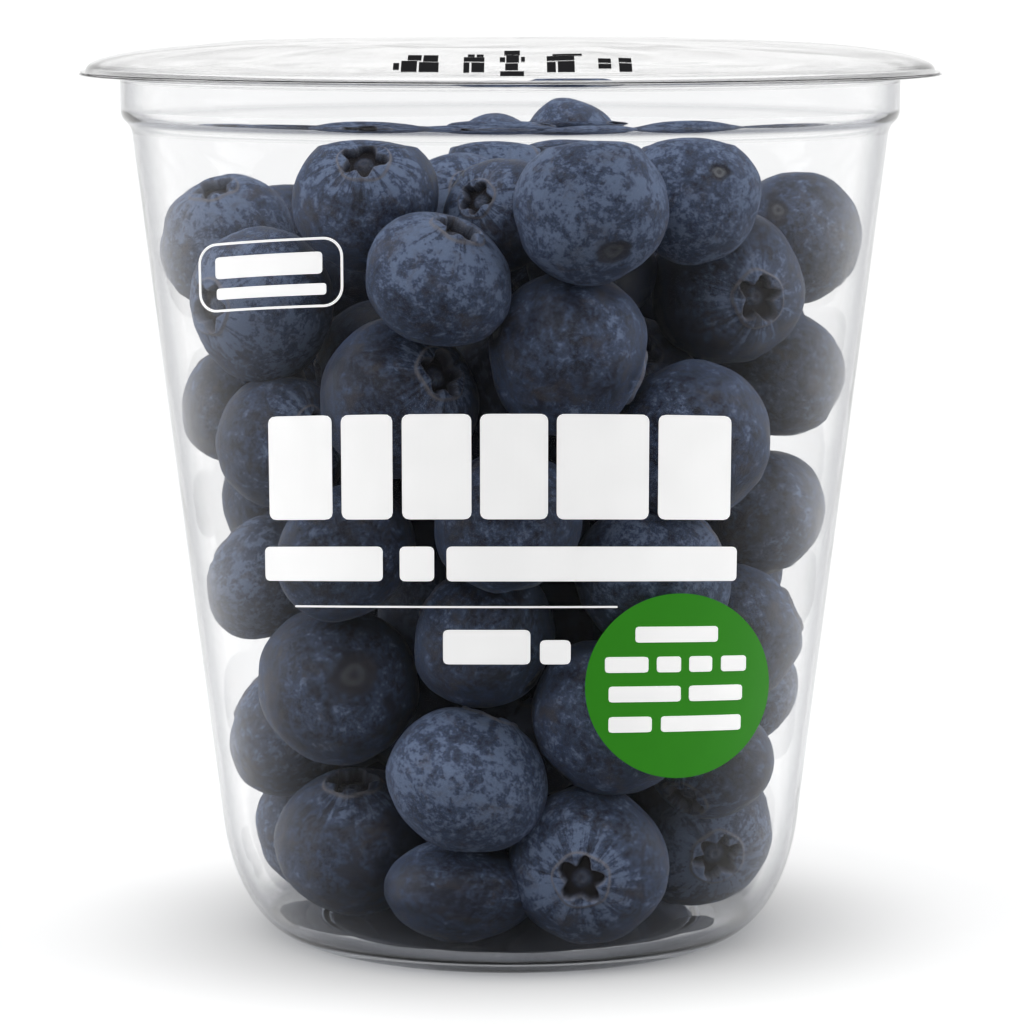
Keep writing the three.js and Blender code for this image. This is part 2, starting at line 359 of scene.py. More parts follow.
class EffectGroups:
    """Builds each shared effect once."""

    def __init__(self) -> None:
        """Starts with no groups."""
        self.made: dict[Effect, bpy.types.NodeTree] = {}

    def get(self, effect: Effect) -> bpy.types.NodeTree:
        """Returns the node group of an effect, built at its first use.

        Args:
            effect: The effect that is asked for.

        Returns:
            Its node group.
        """
        if effect not in self.made:
            build = {Effect.BLOOM: self.bloom, Effect.FLOW: self.flow, Effect.WEAR: self.wear}
            self.made[effect] = build[effect]()
        return self.made[effect]

    def start(self, effect: Effect, inputs: dict[str, str],
              outputs: dict[str, str]) -> tuple[Shader, bpy.types.Node, bpy.types.Node]:
        """Makes an empty group with its named sockets.

        Args:
            effect: The effect that the group is for.
            inputs: Socket types by input name.
            outputs: Socket types by output name.

        Returns:
            The shader helper, the group's input node and its output node.
        """
        tree = bpy.data.node_groups.new(effect.value, "ShaderNodeTree")
        for way, sockets in (("INPUT", inputs), ("OUTPUT", outputs)):
            for name, kind in sockets.items():
                tree.interface.new_socket(name, in_out=way, socket_type="NodeSocket" + kind)
        source = tree.nodes.new("NodeGroupInput")
        target = tree.nodes.new("NodeGroupOutput")
        return Shader(tree), source, target

    def bloom(self) -> bpy.types.NodeTree:
        """Builds the patchy wax of a berry: cover, rubbed spots, specks and grain.

        Returns:
            The node group.
        """
        shader, source, target = self.start(
            Effect.BLOOM, {"Place": "Vector", "Cover": "Float"},
            {"Cover": "Float", "Rub": "Float", "Speck": "Float", "Grain": "Float"},
        )
        place = source.outputs["Place"]
        fine = shader.noise(place, 24.0, 4.0, 0.72)
        level = source.outputs["Cover"]
        for value, share in (
            (shader.noise(place, 1.3, 3.0, 0.5), 0.55), (shader.noise(place, 4.5, 4.0, 0.6), 0.95),
            (shader.noise(place, 10.0, 4.0, 0.65), 0.9), (fine, 0.72),
        ):
            level = shader.maths("ADD", level, shader.maths("MULTIPLY", value, share))
        cover = shader.scaled(level, 1.25, 1.87)
        rub_place = shader.shifted(place, (1.0, 1.0, 1.0), (17.0, 4.0, 9.0))
        rub = shader.scaled(shader.noise(rub_place, 2.2, 6.0, 0.72, 0.4), 0.50, 0.72)
        cells = shader.add("TexVoronoi", {"Vector": place, "Scale": 7.5, "Randomness": 1.0})
        dots = shader.scaled(cells.outputs["Distance"], 0.05, 0.16, 1.0, 0.0)
        chance = shader.scaled(shader.noise(place, 2.6, 1.0), 0.52, 0.62)
        speck = shader.maths("MULTIPLY", dots, chance)
        links = shader.tree.links
        links.new(cover, target.inputs["Cover"])
        links.new(rub, target.inputs["Rub"])
        links.new(speck, target.inputs["Speck"])
        links.new(fine, target.inputs["Grain"])
        return shader.tree

    def flow(self) -> bpy.types.NodeTree:
        """Builds the soft waves that moulding leaves in clear plastic.

        Returns:
            The node group.
        """
        shader, source, target = self.start(
            Effect.FLOW, {"Place": "Vector", "Size": "Float"}, {"Height": "Float", "Haze": "Float"},
        )
        node = shader.add("VectorMath", {0: source.outputs["Place"], 3: source.outputs["Size"]},
                          operation="SCALE")
        wave = shader.noise(node.outputs[0], 1.0, 2.0, 0.45, 0.6)
        haze = shader.scaled(shader.noise(node.outputs[0], 3.5, 4.0, 0.6), 0.45, 0.8)
        shader.tree.links.new(wave, target.inputs["Height"])
        shader.tree.links.new(haze, target.inputs["Haze"])
        return shader.tree

    def wear(self) -> bpy.types.NodeTree:
        """Builds the faint unevenness of printed ink.

        Returns:
            The node group.
        """
        shader, source, target = self.start(
            Effect.WEAR, {"Place": "Vector"}, {"Tone": "Float", "Height": "Float"},
        )
        place = source.outputs["Place"]
        tone = shader.scaled(shader.noise(place, 260.0, 3.0, 0.5), 0.3, 0.7)
        shader.tree.links.new(tone, target.inputs["Tone"])
        shader.tree.links.new(shader.noise(place, 2600.0, 3.0, 0.6), target.inputs["Height"])
        return shader.tree


EFFECTS = EffectGroups()


def new_material(name: str) -> tuple[bpy.types.Material, Shader, bpy.types.Node]:
    """Makes an empty node material.

    Args:
        name: The material's name.

    Returns:
        The material, its shader helper and its output node.
    """
    material = bpy.data.materials.new(name)
    material.use_nodes = True
    material.node_tree.nodes.clear()
    shader = Shader(material.node_tree)
    return material, shader, shader.add("OutputMaterial")


def grouped(shader: Shader, effect: Effect, inputs: dict) -> bpy.types.Node:
    """Adds a shared effect to a material and sets its inputs.

    Args:
        shader: The helper of the material.
        effect: The effect to add.
        inputs: Input names, each with a value or an output to join.

    Returns:
        The group node.
    """
    node = shader.add("Group", node_tree=EFFECTS.get(effect))
    for name, value in inputs.items():
        if isinstance(value, bpy.types.NodeSocket):
            shader.tree.links.new(value, node.inputs[name])
        else:
            node.inputs[name].default_value = value
    return node


@dataclass(frozen=True)
class BerryFinish:
    """Navy skin under a patchy grey-blue wax, with its crown and stem scar, a painted sheen where
    it is seen edge on and painted shade deep in the heap.
    """

    name: str = "berry_skin"
    bare_skin_and_shade: Colour = (0.008, 0.010, 0.020, 1.0)
    wax: Colour = (0.072, 0.100, 0.175, 1.0)
    pale_wax: Colour = (0.186, 0.240, 0.356, 1.0)
    rubbed: Colour = (0.056, 0.048, 0.050, 1.0)
    pit: Colour = (0.010, 0.008, 0.010, 1.0)
    edge: Colour = (0.185, 0.175, 0.185, 1.0)
    scar_ring: Colour = (0.018, 0.017, 0.022, 1.0)
    scar_core: Colour = (0.150, 0.155, 0.165, 1.0)
    cover_range: float = 0.3
    cover_low: float = -0.15
    patch_strength: float = 0.75
    painted_sheen_strength: float = 0.35
    relief: float = 0.00012

    def material(self) -> bpy.types.Material:
        """Builds the berry material.

        Returns:
            The material.
        """
        material, shader, out = new_material(self.name)
        place = shader.add("Attribute", attribute_name="berry_place").outputs["Vector"]
        draw = shader.add("Attribute", attribute_name="berry_draw").outputs["Vector"]
        marks = shader.add("Attribute", attribute_name="berry_marks")
        mark = shader.add("SeparateColor", {0: marks.outputs["Color"]}).outputs
        seeded = shader.shifted(draw, (31.0, 47.0, 23.0), place)
        draws = shader.add("SeparateXYZ", {0: draw}).outputs
        cover = shader.maths("MULTIPLY_ADD", draws[0], self.cover_range)
        cover.node.inputs[2].default_value = self.cover_low
        streak = self.streaks(shader, place, draw)
        bloom = grouped(shader, Effect.BLOOM, {
            "Place": seeded, "Cover": shader.maths("ADD", cover, streak),
        }).outputs
        skin = shader.mixed(bloom["Cover"], self.bare_skin_and_shade, self.wax)
        thick = shader.scaled(bloom["Cover"], 0.72, 1.0, 0.0, 0.55)
        share = self.patch_strength
        skin = shader.mixed(thick, skin, self.pale_wax)
        skin = shader.mixed(shader.maths("MULTIPLY", bloom["Rub"], share), skin, self.rubbed)
        skin = shader.mixed(shader.maths("MULTIPLY", bloom["Speck"], share), skin, self.bare_skin_and_shade)
        # Painted sheen: where the skin is seen edge on, it turns towards the wax colour.
        sheen = shader.add("LayerWeight", {"Blend": 0.28}).outputs["Facing"]
        skin = shader.mixed(shader.maths("MULTIPLY", sheen, self.painted_sheen_strength), skin, self.wax)
        skin = shader.mixed(mark[1], skin, self.edge)
        skin = shader.mixed(mark[2], skin, self.scar_ring)
        skin = shader.mixed(marks.outputs["Alpha"], skin, self.scar_core)
        skin = shader.mixed(mark[0], skin, self.pit)
        # Painted shade: skin deep between berries is darkened towards the dark colour of skin
        # without wax.
        depth = shader.add("Attribute", attribute_name=BERRY_SHADE_MAP).outputs["Fac"]
        skin = shader.mixed(depth, skin, self.bare_skin_and_shade)
        rough = shader.scaled(bloom["Cover"], 0.0, 0.8, 0.44, 0.72)
        bump = shader.add("Bump", {
            "Strength": 0.35, "Distance": self.relief, "Height": bloom["Grain"],
        })
        body = shader.add("BsdfPrincipled", {
            "Base Color": skin, "Roughness": rough, "Normal": bump.outputs[0],
            "Specular IOR Level": 0.22,
        })
        shader.tree.links.new(body.outputs[0], out.inputs["Surface"])
        return material

    def streaks(self, shader: Shader, place: object, draw: object) -> object:
        """Returns extra wax cover in streaks that run out from the crown.

        Args:
            shader: The helper of the material.
            place: The output with the place on the berry.
            draw: The output with the berry's own numbers.

        Returns:
            The output with the extra cover.
        """
        axis = shader.add("SeparateXYZ", {0: place}).outputs
        flat = shader.add("CombineXYZ", {"X": axis[0], "Y": axis[1], "Z": 0.0}).outputs[0]
        way = shader.add("VectorMath", {0: flat}, operation="NORMALIZE").outputs[0]
        long = shader.add("CombineXYZ", {
            "X": 0.0, "Y": 0.0, "Z": shader.maths("MULTIPLY", axis[2], 0.12),
        }).outputs[0]
        ray = shader.add("VectorMath", {0: way, 1: long}, operation="ADD").outputs[0]
        seeded = shader.shifted(draw, (19.0, 13.0, 29.0), ray)
        value = shader.noise(seeded, 5.5, 4.0, 0.7, 0.25)
        near = shader.scaled(axis[2], 0.45, 0.93)
        signed = shader.maths("SUBTRACT", value, 0.47)
        halo = shader.maths("MULTIPLY", shader.scaled(axis[2], 0.66, 0.93), 0.12)
        amount = shader.maths("MULTIPLY", shader.maths("MULTIPLY", signed, near), 1.5)
        return shader.maths("ADD", amount, halo)


@dataclass(frozen=True)
class ClearFinish:
    """Clear thin plastic with faint waves, with painted shade where it is seen edge on and where
    the shade map marks it.
    """

    name: str
    tint: Colour = (0.935, 0.937, 0.941, 1.0)
    ior: float = 1.33
    rough: float = 0.02
    wave_size: float = 90.0
    wave_depth: float = 0.00006
    shadow: Colour = (0.90, 0.905, 0.915, 1.0)
    sheen: Colour = (0.10, 0.10, 0.10, 1.0)
    # Painted shade where the plastic is seen edge on.
    edge: Colour = (0.20, 0.215, 0.25, 1.0)
    # Colour of the painted shade that the shade map marks: a dark line along the step and a darker
    # base.
    bend: Colour = (0.062, 0.078, 0.122, 1.0)

    def material(self) -> bpy.types.Material:
        """Builds the clear material.

        Returns:
            The material.
        """
        material, shader, out = new_material(self.name)
        place = shader.add("TexCoord").outputs["Object"]
        flow = grouped(shader, Effect.FLOW, {"Place": place, "Size": self.wave_size}).outputs
        bump = shader.add("Bump", {
            "Strength": 0.5, "Distance": self.wave_depth, "Height": flow["Height"],
        })
        rough = shader.scaled(flow["Haze"], 0.0, 1.0, self.rough, self.rough + 0.05)
        # Painted shade: the plastic is tinted darker where it is seen edge on.
        facing = shader.add("LayerWeight", {"Blend": 0.5}).outputs["Facing"]
        tone = shader.mixed(shader.scaled(facing, 0.60, 0.97), self.tint, self.edge)
        # Painted shade where the shade map marks the plastic.
        shade = shader.add("Attribute", attribute_name=SHADE_MAP).outputs["Fac"]
        tone = shader.mixed(shade, tone, self.bend)
        body = shader.add("BsdfPrincipled", {
            "Base Color": tone, "Roughness": rough, "IOR": self.ior,
            "Transmission Weight": 1.0, "Specular Tint": self.sheen, "Normal": bump.outputs[0],
        })
        light = shader.add("LightPath").outputs
        open_way = shader.maths("MAXIMUM", light["Is Shadow Ray"], light["Is Diffuse Ray"])
        through = shader.add("BsdfTransparent", {"Color": self.shadow})
        mix = shader.add("MixShader", {0: open_way, 1: body.outputs[0], 2: through.outputs[0]})
        shader.tree.links.new(mix.outputs[0], out.inputs["Surface"])
        return material


class Ink(Enum):
    """Colours of the print."""

    WHITE = (0.97, 0.97, 0.97, 1.0)
    GREEN = (0.024, 0.195, 0.0085, 1.0)
    BLACK = (0.012, 0.012, 0.013, 1.0)


@dataclass(frozen=True)
class InkFinish:
    """Opaque smooth ink on plastic, with painted light: the ink glows faintly in its own colour."""

    ink: Ink
    rough: float = 0.42
    painted_glow: float = 0.24

    def material(self) -> bpy.types.Material:
        """Builds the ink material.

        Returns:
            The material.
        """
        material, shader, out = new_material("ink_" + self.ink.name.lower())
        place = shader.add("TexCoord").outputs["Object"]
        wear = grouped(shader, Effect.WEAR, {"Place": place}).outputs
        colour = self.ink.value
        deep = tuple(0.95 * part for part in colour[:3]) + (1.0,)
        tone = shader.mixed(wear["Tone"], deep, colour)
        bump = shader.add("Bump", {"Strength": 0.08, "Distance": 0.00002, "Height": wear["Height"]})
        body = shader.add("BsdfPrincipled", {
            "Base Color": tone, "Roughness": self.rough, "Normal": bump.outputs[0],
            "Specular IOR Level": 0.0 if self.ink is Ink.BLACK else 0.12,
            # Painted light: the ink glows faintly in its own colour.
            "Emission Color": colour, "Emission Strength": self.painted_glow,
        })
        shader.tree.links.new(body.outputs[0], out.inputs["Surface"])
        return material


class Mark(Enum):
    """Which end of a berry shows at the front."""

    CROWN = "crown"
    AWAY = "away"


@dataclass
class Berry:
    """One berry: its place and diameter in millimetres and its axis to the crown."""

    x: float
    y: float
    z: float
    radius: float
    axis: Place
    seen: Point | None = None
    flat: float = 1.0


# Berries that show through the front wall, each as it is seen from the front:
# across, height, size, how far back from the front wall, where its crown points
# (to the right, up), and whether the crown shows or points away.
FRONT_BERRIES = (
    (-15.2, 83.0, 15.5, 0, (-0.03, 0.68), Mark.CROWN),
    (7.2, 85.2, 14.4, 52, (0.9, 0.25), Mark.CROWN),
    (-0.8, 84.3, 14.0, 42, (0.85, 0.45), Mark.CROWN),
    (-5.2, 81.2, 13.4, 13, (0.2, 0.5), Mark.CROWN),
    (-1.1, 81.4, 12.6, 9, (-0.5, 0.4), Mark.CROWN),
    (8.4, 82.5, 16.2, 0, (-0.31, 0.56), Mark.AWAY),
    (19.2, 83.6, 14.8, 1.5, (-0.4, -0.4), Mark.AWAY),
    (32.1, 77.7, 14.8, 0, (0.35, -0.5), Mark.AWAY),
    (-7.5, 75.2, 15.8, 0, (0.34, 0.86), Mark.CROWN),
    (23.5, 73.1, 16.9, 0, (0.41, -0.1), Mark.CROWN),
    (-32.0, 77.3, 15.5, 0, (-0.2, 0.9), Mark.CROWN),
    (-26.7, 71.5, 16.8, 0, (-0.77, 0.0), Mark.CROWN),
    (6.0, 67.4, 17.7, 1, (0.9, -0.35), Mark.AWAY),
    (-11.7, 62.0, 17.3, 0, (0.6, 0.43), Mark.CROWN),
    (30.3, 63.0, 15.6, 0, (0.6, 0.6), Mark.AWAY),
    (-31.2, 59.4, 14.6, 0, (-0.5, 0.8), Mark.AWAY),
    (-24.6, 56.6, 14.8, 0, (0.65, 0.3), Mark.CROWN),
    (19.2, 57.0, 16.9, 0, (0.02, -0.02), Mark.AWAY),
    (28.3, 47.0, 16.1, 0, (-0.3, 0.92), Mark.AWAY),
    (-0.2, 49.4, 15.8, 0, (0.4, -0.9), Mark.AWAY),
    (-17.7, 45.3, 15.9, 0, (0.55, -0.8), Mark.AWAY),
    (-27.9, 40.0, 14.8, 0, (-0.7, 0.65), Mark.AWAY),
    (15.3, 42.2, 17.2, 0, (0.8, 0.58), Mark.AWAY),
    (24.7, 35.0, 15.4, 0, (0.92, 0.35), Mark.AWAY),
    (-2.8, 36.0, 15.8, 1.5, (-0.75, 0.6), Mark.AWAY),
    (-18.7, 30.3, 17.4, 0, (-0.29, -0.29), Mark.AWAY),
    (-25.7, 22.4, 15.7, 0, (-0.8, 0.55), Mark.AWAY),
    (27.2, 26.7, 13.6, 0, (0.3, -0.93), Mark.AWAY),
    (10.9, 27.6, 17.6, 0, (0.7, 0.7), Mark.AWAY),
    (-4.6, 20.9, 17.6, 0, (0.35, 0.92), Mark.AWAY),
    (-17.0, 11.4, 17.4, 0, (0.0, 0.95), Mark.CROWN),
    (8.3, 11.9, 17.2, 0, (-0.12, -0.06), Mark.CROWN),
    (20.6, 11.4, 17.8, 0, (0.3, -0.25), Mark.CROWN),
    (-4.8, 9.0, 13.6, 0.5, (0.5, 0.8), Mark.AWAY),
    (9.5, 9.3, 13.0, 22, (0.6, 0.7), Mark.AWAY),
    (3.5, 73.2, 16.4, 46, (0.95, 0.0), Mark.AWAY),
)


@dataclass
class Packing:
    """Places the berries: the seen ones from a given list, the rest by rings and layers."""

    gap: float = 0.45
    heap_top: float = 92.4
    fill_top: float = 83.0
    smallest: float = 14.2
    largest: float = 17.2
    first_layer: float = 9.4
    layer_rise: float = 12.9
    layers: int = 5
    upper_top: float = 76.5
    rings: tuple[Point, ...] = ((0, 15.6), (14.6, 15.2), (28.5, 15.2))
    crowding: float = 0.78
    seen_squeeze: float = 0.95
    fill_squeeze: float = 0.97
    seen_yield: float = 0.15
    seen_pull: float = 0.4
    rounds: int = 260
    firm_rounds: int = 60
    sink: float = 0.04
    low_seen: Point = (-4.8, 9.0)
    low_place: Point = (-5.4, 8.1)
    low_radius: float = 8.4
    low_flat: float = 0.74
    low_behind: float = 2.0
    seed: int = 20731
    berries: list[Berry] = field(default_factory=list)

    def reach(self, z: float, radius: float, flat: float = 1.0) -> float:
        """Returns how far a berry's middle may lie from the axis.

        Args:
            z: The height of the berry's middle.
            radius: The berry's radius.
            flat: Its height as a share of its width.

        Returns:
            The distance in millimetres.
        """
        lean = math.sqrt(1 + TUB.wall_slope**2)
        inset = TUB.wall + self.gap
        limit = TUB.wall_radius(z) - inset - radius * lean
        for i in range(1, 7):
            down = radius * i / 6
            half = math.sqrt(max(0.0, radius * radius - down * down))
            limit = min(limit, TUB.wall_radius(z - flat * down) - inset - half)
        return max(0.0, limit)

    def place_front(self) -> None:
        """Places the berries that show at the front."""
        for across, height, size, behind, crown, mark in FRONT_BERRIES:
            radius = size / 2
            ring = self.reach(height, radius)
            depth = math.sqrt(max(0.0, ring * ring - across * across)) - behind
            facing = math.sqrt(max(0.0, 1 - crown[0] ** 2 - crown[1] ** 2))
            back = facing if mark is Mark.AWAY else -facing
            self.berries.append(Berry(
                across, -depth, height, radius, (crown[0], back, crown[1]), (across, height)
            ))

    def place_fill(self) -> None:
        """Places the other berries, ring by ring in each layer, where there is room."""
        draw = Draws(self.seed)
        for layer in range(self.layers + 1):
            top = layer == self.layers
            level = self.upper_top if top else self.first_layer + self.layer_rise * layer
            for behind, spacing in self.rings:
                ring = max(0.0, self.reach(level, 8) - behind)
                count = max(1, math.floor(2 * math.pi * ring / spacing + 0.5))
                start = draw() * 2 * math.pi
                for i in range(count):
                    size = self.smallest + (self.largest - self.smallest) * draw()
                    turn = start + 2 * math.pi * i / count
                    z = level + (draw() - 0.5) * 4 * (0.3 if top else 1)
                    up = 2 * draw() - 1
                    way = 2 * math.pi * draw()
                    flat = math.sqrt(1 - up * up)
                    self.try_berry(Berry(
                        ring * math.sin(turn), -ring * math.cos(turn), z, size / 2,
                        (flat * math.cos(way), flat * math.sin(way), up),
                    ))

    def try_berry(self, new: Berry) -> None:
        """Keeps a berry where it isn't crowded by the others.

        Args:
            new: The berry to place.
        """
        for other in self.berries:
            distance = math.dist((other.x, other.y, other.z), (new.x, new.y, new.z))
            if distance <= self.crowding * (other.radius + new.radius):
                return
        self.berries.append(new)

    def push_apart(self, a: Berry, b: Berry) -> None:
        """Moves two berries apart where they press into each other.

        Args:
            a: One berry.
            b: The other berry.
        """
        dx, dy, dz = b.x - a.x, b.y - a.y, b.z - a.z
        distance = math.sqrt(dx * dx + dy * dy + dz * dz)
        squeeze = self.seen_squeeze if a.seen and b.seen else self.fill_squeeze
        overlap = (a.radius + b.radius) * squeeze - distance
        if overlap <= 0:
            return
        share = 1 - self.seen_yield if b.seen else self.seen_yield
        share = 0.5 if (a.seen is None) == (b.seen is None) else share
        back = share * overlap / distance
        on = (1 - share) * overlap / distance
        a.x, a.y, a.z = a.x - dx * back, a.y - dy * back, a.z - dz * back
        b.x, b.y, b.z = b.x + dx * on, b.y + dy * on, b.z + dz * on

    def hold(self, berry: Berry, firm: bool) -> None:
        """Keeps a berry inside the tub, and a seen one near its seen place.

        Args:
            berry: The berry to keep in place.
            firm: Whether it no longer sinks.
        """
        if berry.seen:
            berry.x += (berry.seen[0] - berry.x) * self.seen_pull
            berry.z += (berry.seen[1] - berry.z) * self.seen_pull
        elif not firm:
            berry.z -= self.sink
        lowest = TUB.floor_height + self.gap + berry.radius
        highest = self.heap_top if berry.seen else self.fill_top
        berry.z = min(highest - berry.radius, max(lowest, berry.z))
        limit = self.reach(berry.z, berry.radius)
        out = math.hypot(berry.x, berry.y)
        if out > limit:
            berry.x *= limit / out
            berry.y *= limit / out

    def pack(self) -> list[Berry]:
        """Places all berries and lets them settle.

        Returns:
            All berries.
        """
        self.place_front()
        self.place_fill()
        for step in range(self.rounds):
            for i, a in enumerate(self.berries):
                for b in self.berries[i + 1:]:
                    if abs(b.z - a.z) < a.radius + b.radius:
                        self.push_apart(a, b)
            for berry in self.berries:
                self.hold(berry, step >= self.rounds - self.firm_rounds)
        self.settle_low()
        return self.berries

    def settle_low(self) -> None:
        """Lets the lowest berry at the front lie wide and flat on the base."""
        low = next(berry for berry in self.berries if berry.seen == self.low_seen)
        low.x, low.z = self.low_place
        low.radius, low.flat = self.low_radius, self.low_flat
        ring = self.reach(low.z, low.radius, low.flat) - self.low_behind
        low.y = -math.sqrt(ring * ring - low.x * low.x)
        low.axis = (0.05, 0.24, 0.97)
        LOG.info("low berry at %.1f, %.1f, %.1f mm", low.x, low.y, low.z)


@dataclass(frozen=True)
class Fineness:
    """How finely a berry's mesh is cut."""

    around: int
    crown: int
    side: int
    stem: int


FINE = Fineness(around=88, crown=26, side=24, stem=11)
PLAIN = Fineness(around=56, crown=14, side=16, stem=5)


@dataclass
class BerryMesh:
    """The uneven shape of one berry, with its crown at +Z of its own axes."""

    fineness: Fineness
    draw: Draws
    crown_spread: float = 0.36
    scar_spread: float = 0.21
    waves: tuple[Point, ...] = (
        (1.6, 0.020), (2.4, 0.013), (3.8, 0.007), (6.5, 0.0028), (11.0, 0.0012),
    )

    def angles(self) -> np.ndarray:
        """Returns the angles from the crown to the stem, closest where shape is fine.

        Returns:
            The angles in radians.
        """
        rim = 1.35 * self.crown_spread
        scar = math.pi - 1.6 * self.scar_spread
        return np.concatenate([
            np.linspace(0.0, rim, self.fineness.crown, endpoint=False)[1:],
            np.linspace(rim, scar, self.fineness.side, endpoint=False),
            np.linspace(scar, math.pi, self.fineness.stem + 1)[:-1],
        ])

    def lumps(self, ways: np.ndarray) -> np.ndarray:
        """Returns the soft unevenness of the skin for unit directions.

        Args:
            ways: Unit directions, one row each.

        Returns:
            The extra radius as a share of the berry's own.
        """
        total = np.zeros(len(ways))
        for pitch, size in self.waves:
            along = np.array([self.draw() - 0.5 for _ in range(3)])
            along /= np.linalg.norm(along) + 1e-9
            total += size * np.sin(pitch * math.pi * (ways @ along) + 6.3 * self.draw())
        return total

    def crown(self, spread: np.ndarray, turn: np.ndarray) -> Shaped:
        """Shapes the crown: a star pit between folded sepals inside a thin ring.

        Args:
            spread: Angle from the crown's middle, where the ring is at 1.
            turn: Angle round the berry's axis.

        Returns:
            The lift, how deep in the pit a point is, and how near an edge.
        """
        arms = 5 if self.draw() < 0.75 else 6
        uneven = 0.10 + 0.14 * self.draw()
        bend = turn + uneven * np.sin(turn + 6.3 * self.draw())
        bend += 0.07 * np.sin(3 * turn + 6.3 * self.draw())
        arm = 0.5 + 0.5 * np.cos(arms * bend)
        open_share = 0.50 + 0.12 * self.draw()
        length = 0.90 + 0.05 * np.sin(2 * turn + 6.3 * self.draw())
        star = open_share + (length - open_share) * arm**0.85
        pit = smooth_step(-0.035, 0.055, star - spread)
        inside = spread < 1.0
        deep = 0.15 + 0.05 * self.draw()
        flare = 0.055 * max(0.0, self.draw() - 0.25)
        sepal = (1 - pit) * smooth_step(1.22, 0.98, spread)
        lift = -deep * pit * (1 - 0.18 * hump(0.0, 0.3, spread))
        lift += sepal * (flare * hump(0.86, 0.26, spread) - 0.030 * (1 - np.minimum(spread, 1)))
        ring = 1.0 + 0.035 * np.sin(arms * turn) + 0.02 * np.sin(2 * turn + 1)
        lift += 0.011 * hump(0.0, 0.055, spread - ring) * (1 - pit)
        lift -= 0.010 * hump(0.0, 0.06, spread - ring + 0.13) * (1 - pit)
        lift += pit * (0.022 * hump(0.17, 0.045, spread) - 0.012 * hump(0.0, 0.06, spread))
        lift -= 0.020 * hump(0.0, 0.5, np.maximum(0.0, spread - 0.9)) * ~inside
        edge = 0.85 * hump(0.0, 0.04, spread - ring - 0.03) * (1 - pit)
        edge += 0.5 * hump(-0.02, 0.05, star - spread) * inside
        edge += 0.35 * pit * hump(0.17, 0.05, spread)
        pit *= 1 - 0.4 * smooth_step(0.44, 0.26, spread) - 0.2 * hump(0.17, 0.08, spread)
        return lift, pit, np.clip(edge, 0, 1)

    def scar(self, spread: np.ndarray, turn: np.ndarray) -> Shaped:
        """Shapes the stem scar: a shallow dish with a pale middle and a dark ring.

        Args:
            spread: Angle from the scar's middle, where its rim is at 1.
            turn: Angle round the berry's axis.

        Returns:
            The dish's depth, how near its ring and how near its pale middle a point is.
        """
        wave = spread * (1 + 0.10 * np.sin(2 * turn + 6.3 * self.draw()) + 0.06 * np.sin(3 * turn))
        lift = -0.030 * smooth_step(1.25, 0.35, wave) + 0.010 * hump(1.12, 0.22, wave)
        lift += 0.016 * hump(0.42, 0.10, wave) - 0.014 * hump(0.0, 0.16, wave)
        ring = 0.85 * smooth_step(1.30, 0.85, wave)
        pale = 0.2 + 0.7 * self.draw() ** 2
        core = pale * smooth_step(0.68, 0.46, wave) * (1 - 0.8 * hump(0.0, 0.24, wave))
        return lift, ring, core

    def build(self, berry: Berry) -> tuple[np.ndarray, np.ndarray, np.ndarray, Faces]:
        """Builds the mesh of one berry in its place.

        Args:
            berry: Where it lies, its size and its axis.

        Returns:
            Corners in millimetres, skin places, marks and faces.
        """
        around = self.fineness.around
        angle = self.angles()
        turns = 2 * math.pi * np.arange(around) / around
        polar = np.concatenate([[0.0], np.repeat(angle, around), [math.pi]])
        turn = np.concatenate([[0.0], np.tile(turns, len(angle)), [0.0]])
        ways = np.column_stack([
            np.sin(polar) * np.cos(turn), np.sin(polar) * np.sin(turn), np.cos(polar),
        ])
        flat = berry.flat * (0.84 + 0.11 * self.draw())
        swell = 1 + self.lumps(ways) - 0.005 * (1 + np.cos(5 * turn)) * hump(0.6, 0.35, polar)
        local = ways * swell[:, None]
        local[:, 2] *= flat
        local[:, :2] *= (1 + (0.06 * self.draw() - 0.03) * ways[:, 2])[:, None]
        lift, pit, edge = self.crown(polar / self.crown_spread, turn)
        local[:, 2] += lift
        wide = self.scar_spread * (0.65 + 0.7 * self.draw())
        dish, ring, core = self.scar((math.pi - polar) / wide, turn)
        local[:, 2] -= dish
        places = self.turned_to(berry.axis, local * berry.radius)
        places += np.array([berry.x, berry.y, berry.z])
        marks = np.column_stack([pit, edge, ring, core])
        return places, ways, marks, self.faces(len(angle))

    def turned_to(self, axis: Place, local: np.ndarray) -> np.ndarray:
        """Turns points so that +Z lies along an axis, with a drawn roll.

        Args:
            axis: Where the berry's crown points.
            local: Points of the berry, one row each.

        Returns:
            The turned points.
        """
        along = Vector(axis).normalized()
        turn = Vector((0, 0, 1)).rotation_difference(along).to_matrix()
        roll = 2 * math.pi * self.draw()
        spin = np.array([
            [math.cos(roll), -math.sin(roll), 0], [math.sin(roll), math.cos(roll), 0], [0, 0, 1],
        ])
        return local @ spin.T @ np.array(turn).T

    def faces(self, rings: int) -> Faces:
        """Returns the faces between rings of corners, with a fan at each end.

        Args:
            rings: The number of rings of corners.

        Returns:
            The corner numbers of each face.
        """
        around = self.fineness.around
        made: Faces = []
        for i in range(around):
            j = (i + 1) % around
            made.append((0, 1 + i, 1 + j))
            for ring in range(rings - 1):
                low = 1 + ring * around
                made.append((low + i, low + around + i, low + around + j, low + j))
            low = 1 + (rings - 1) * around
            made.append((low + i, rings * around + 1, low + j))
        return made


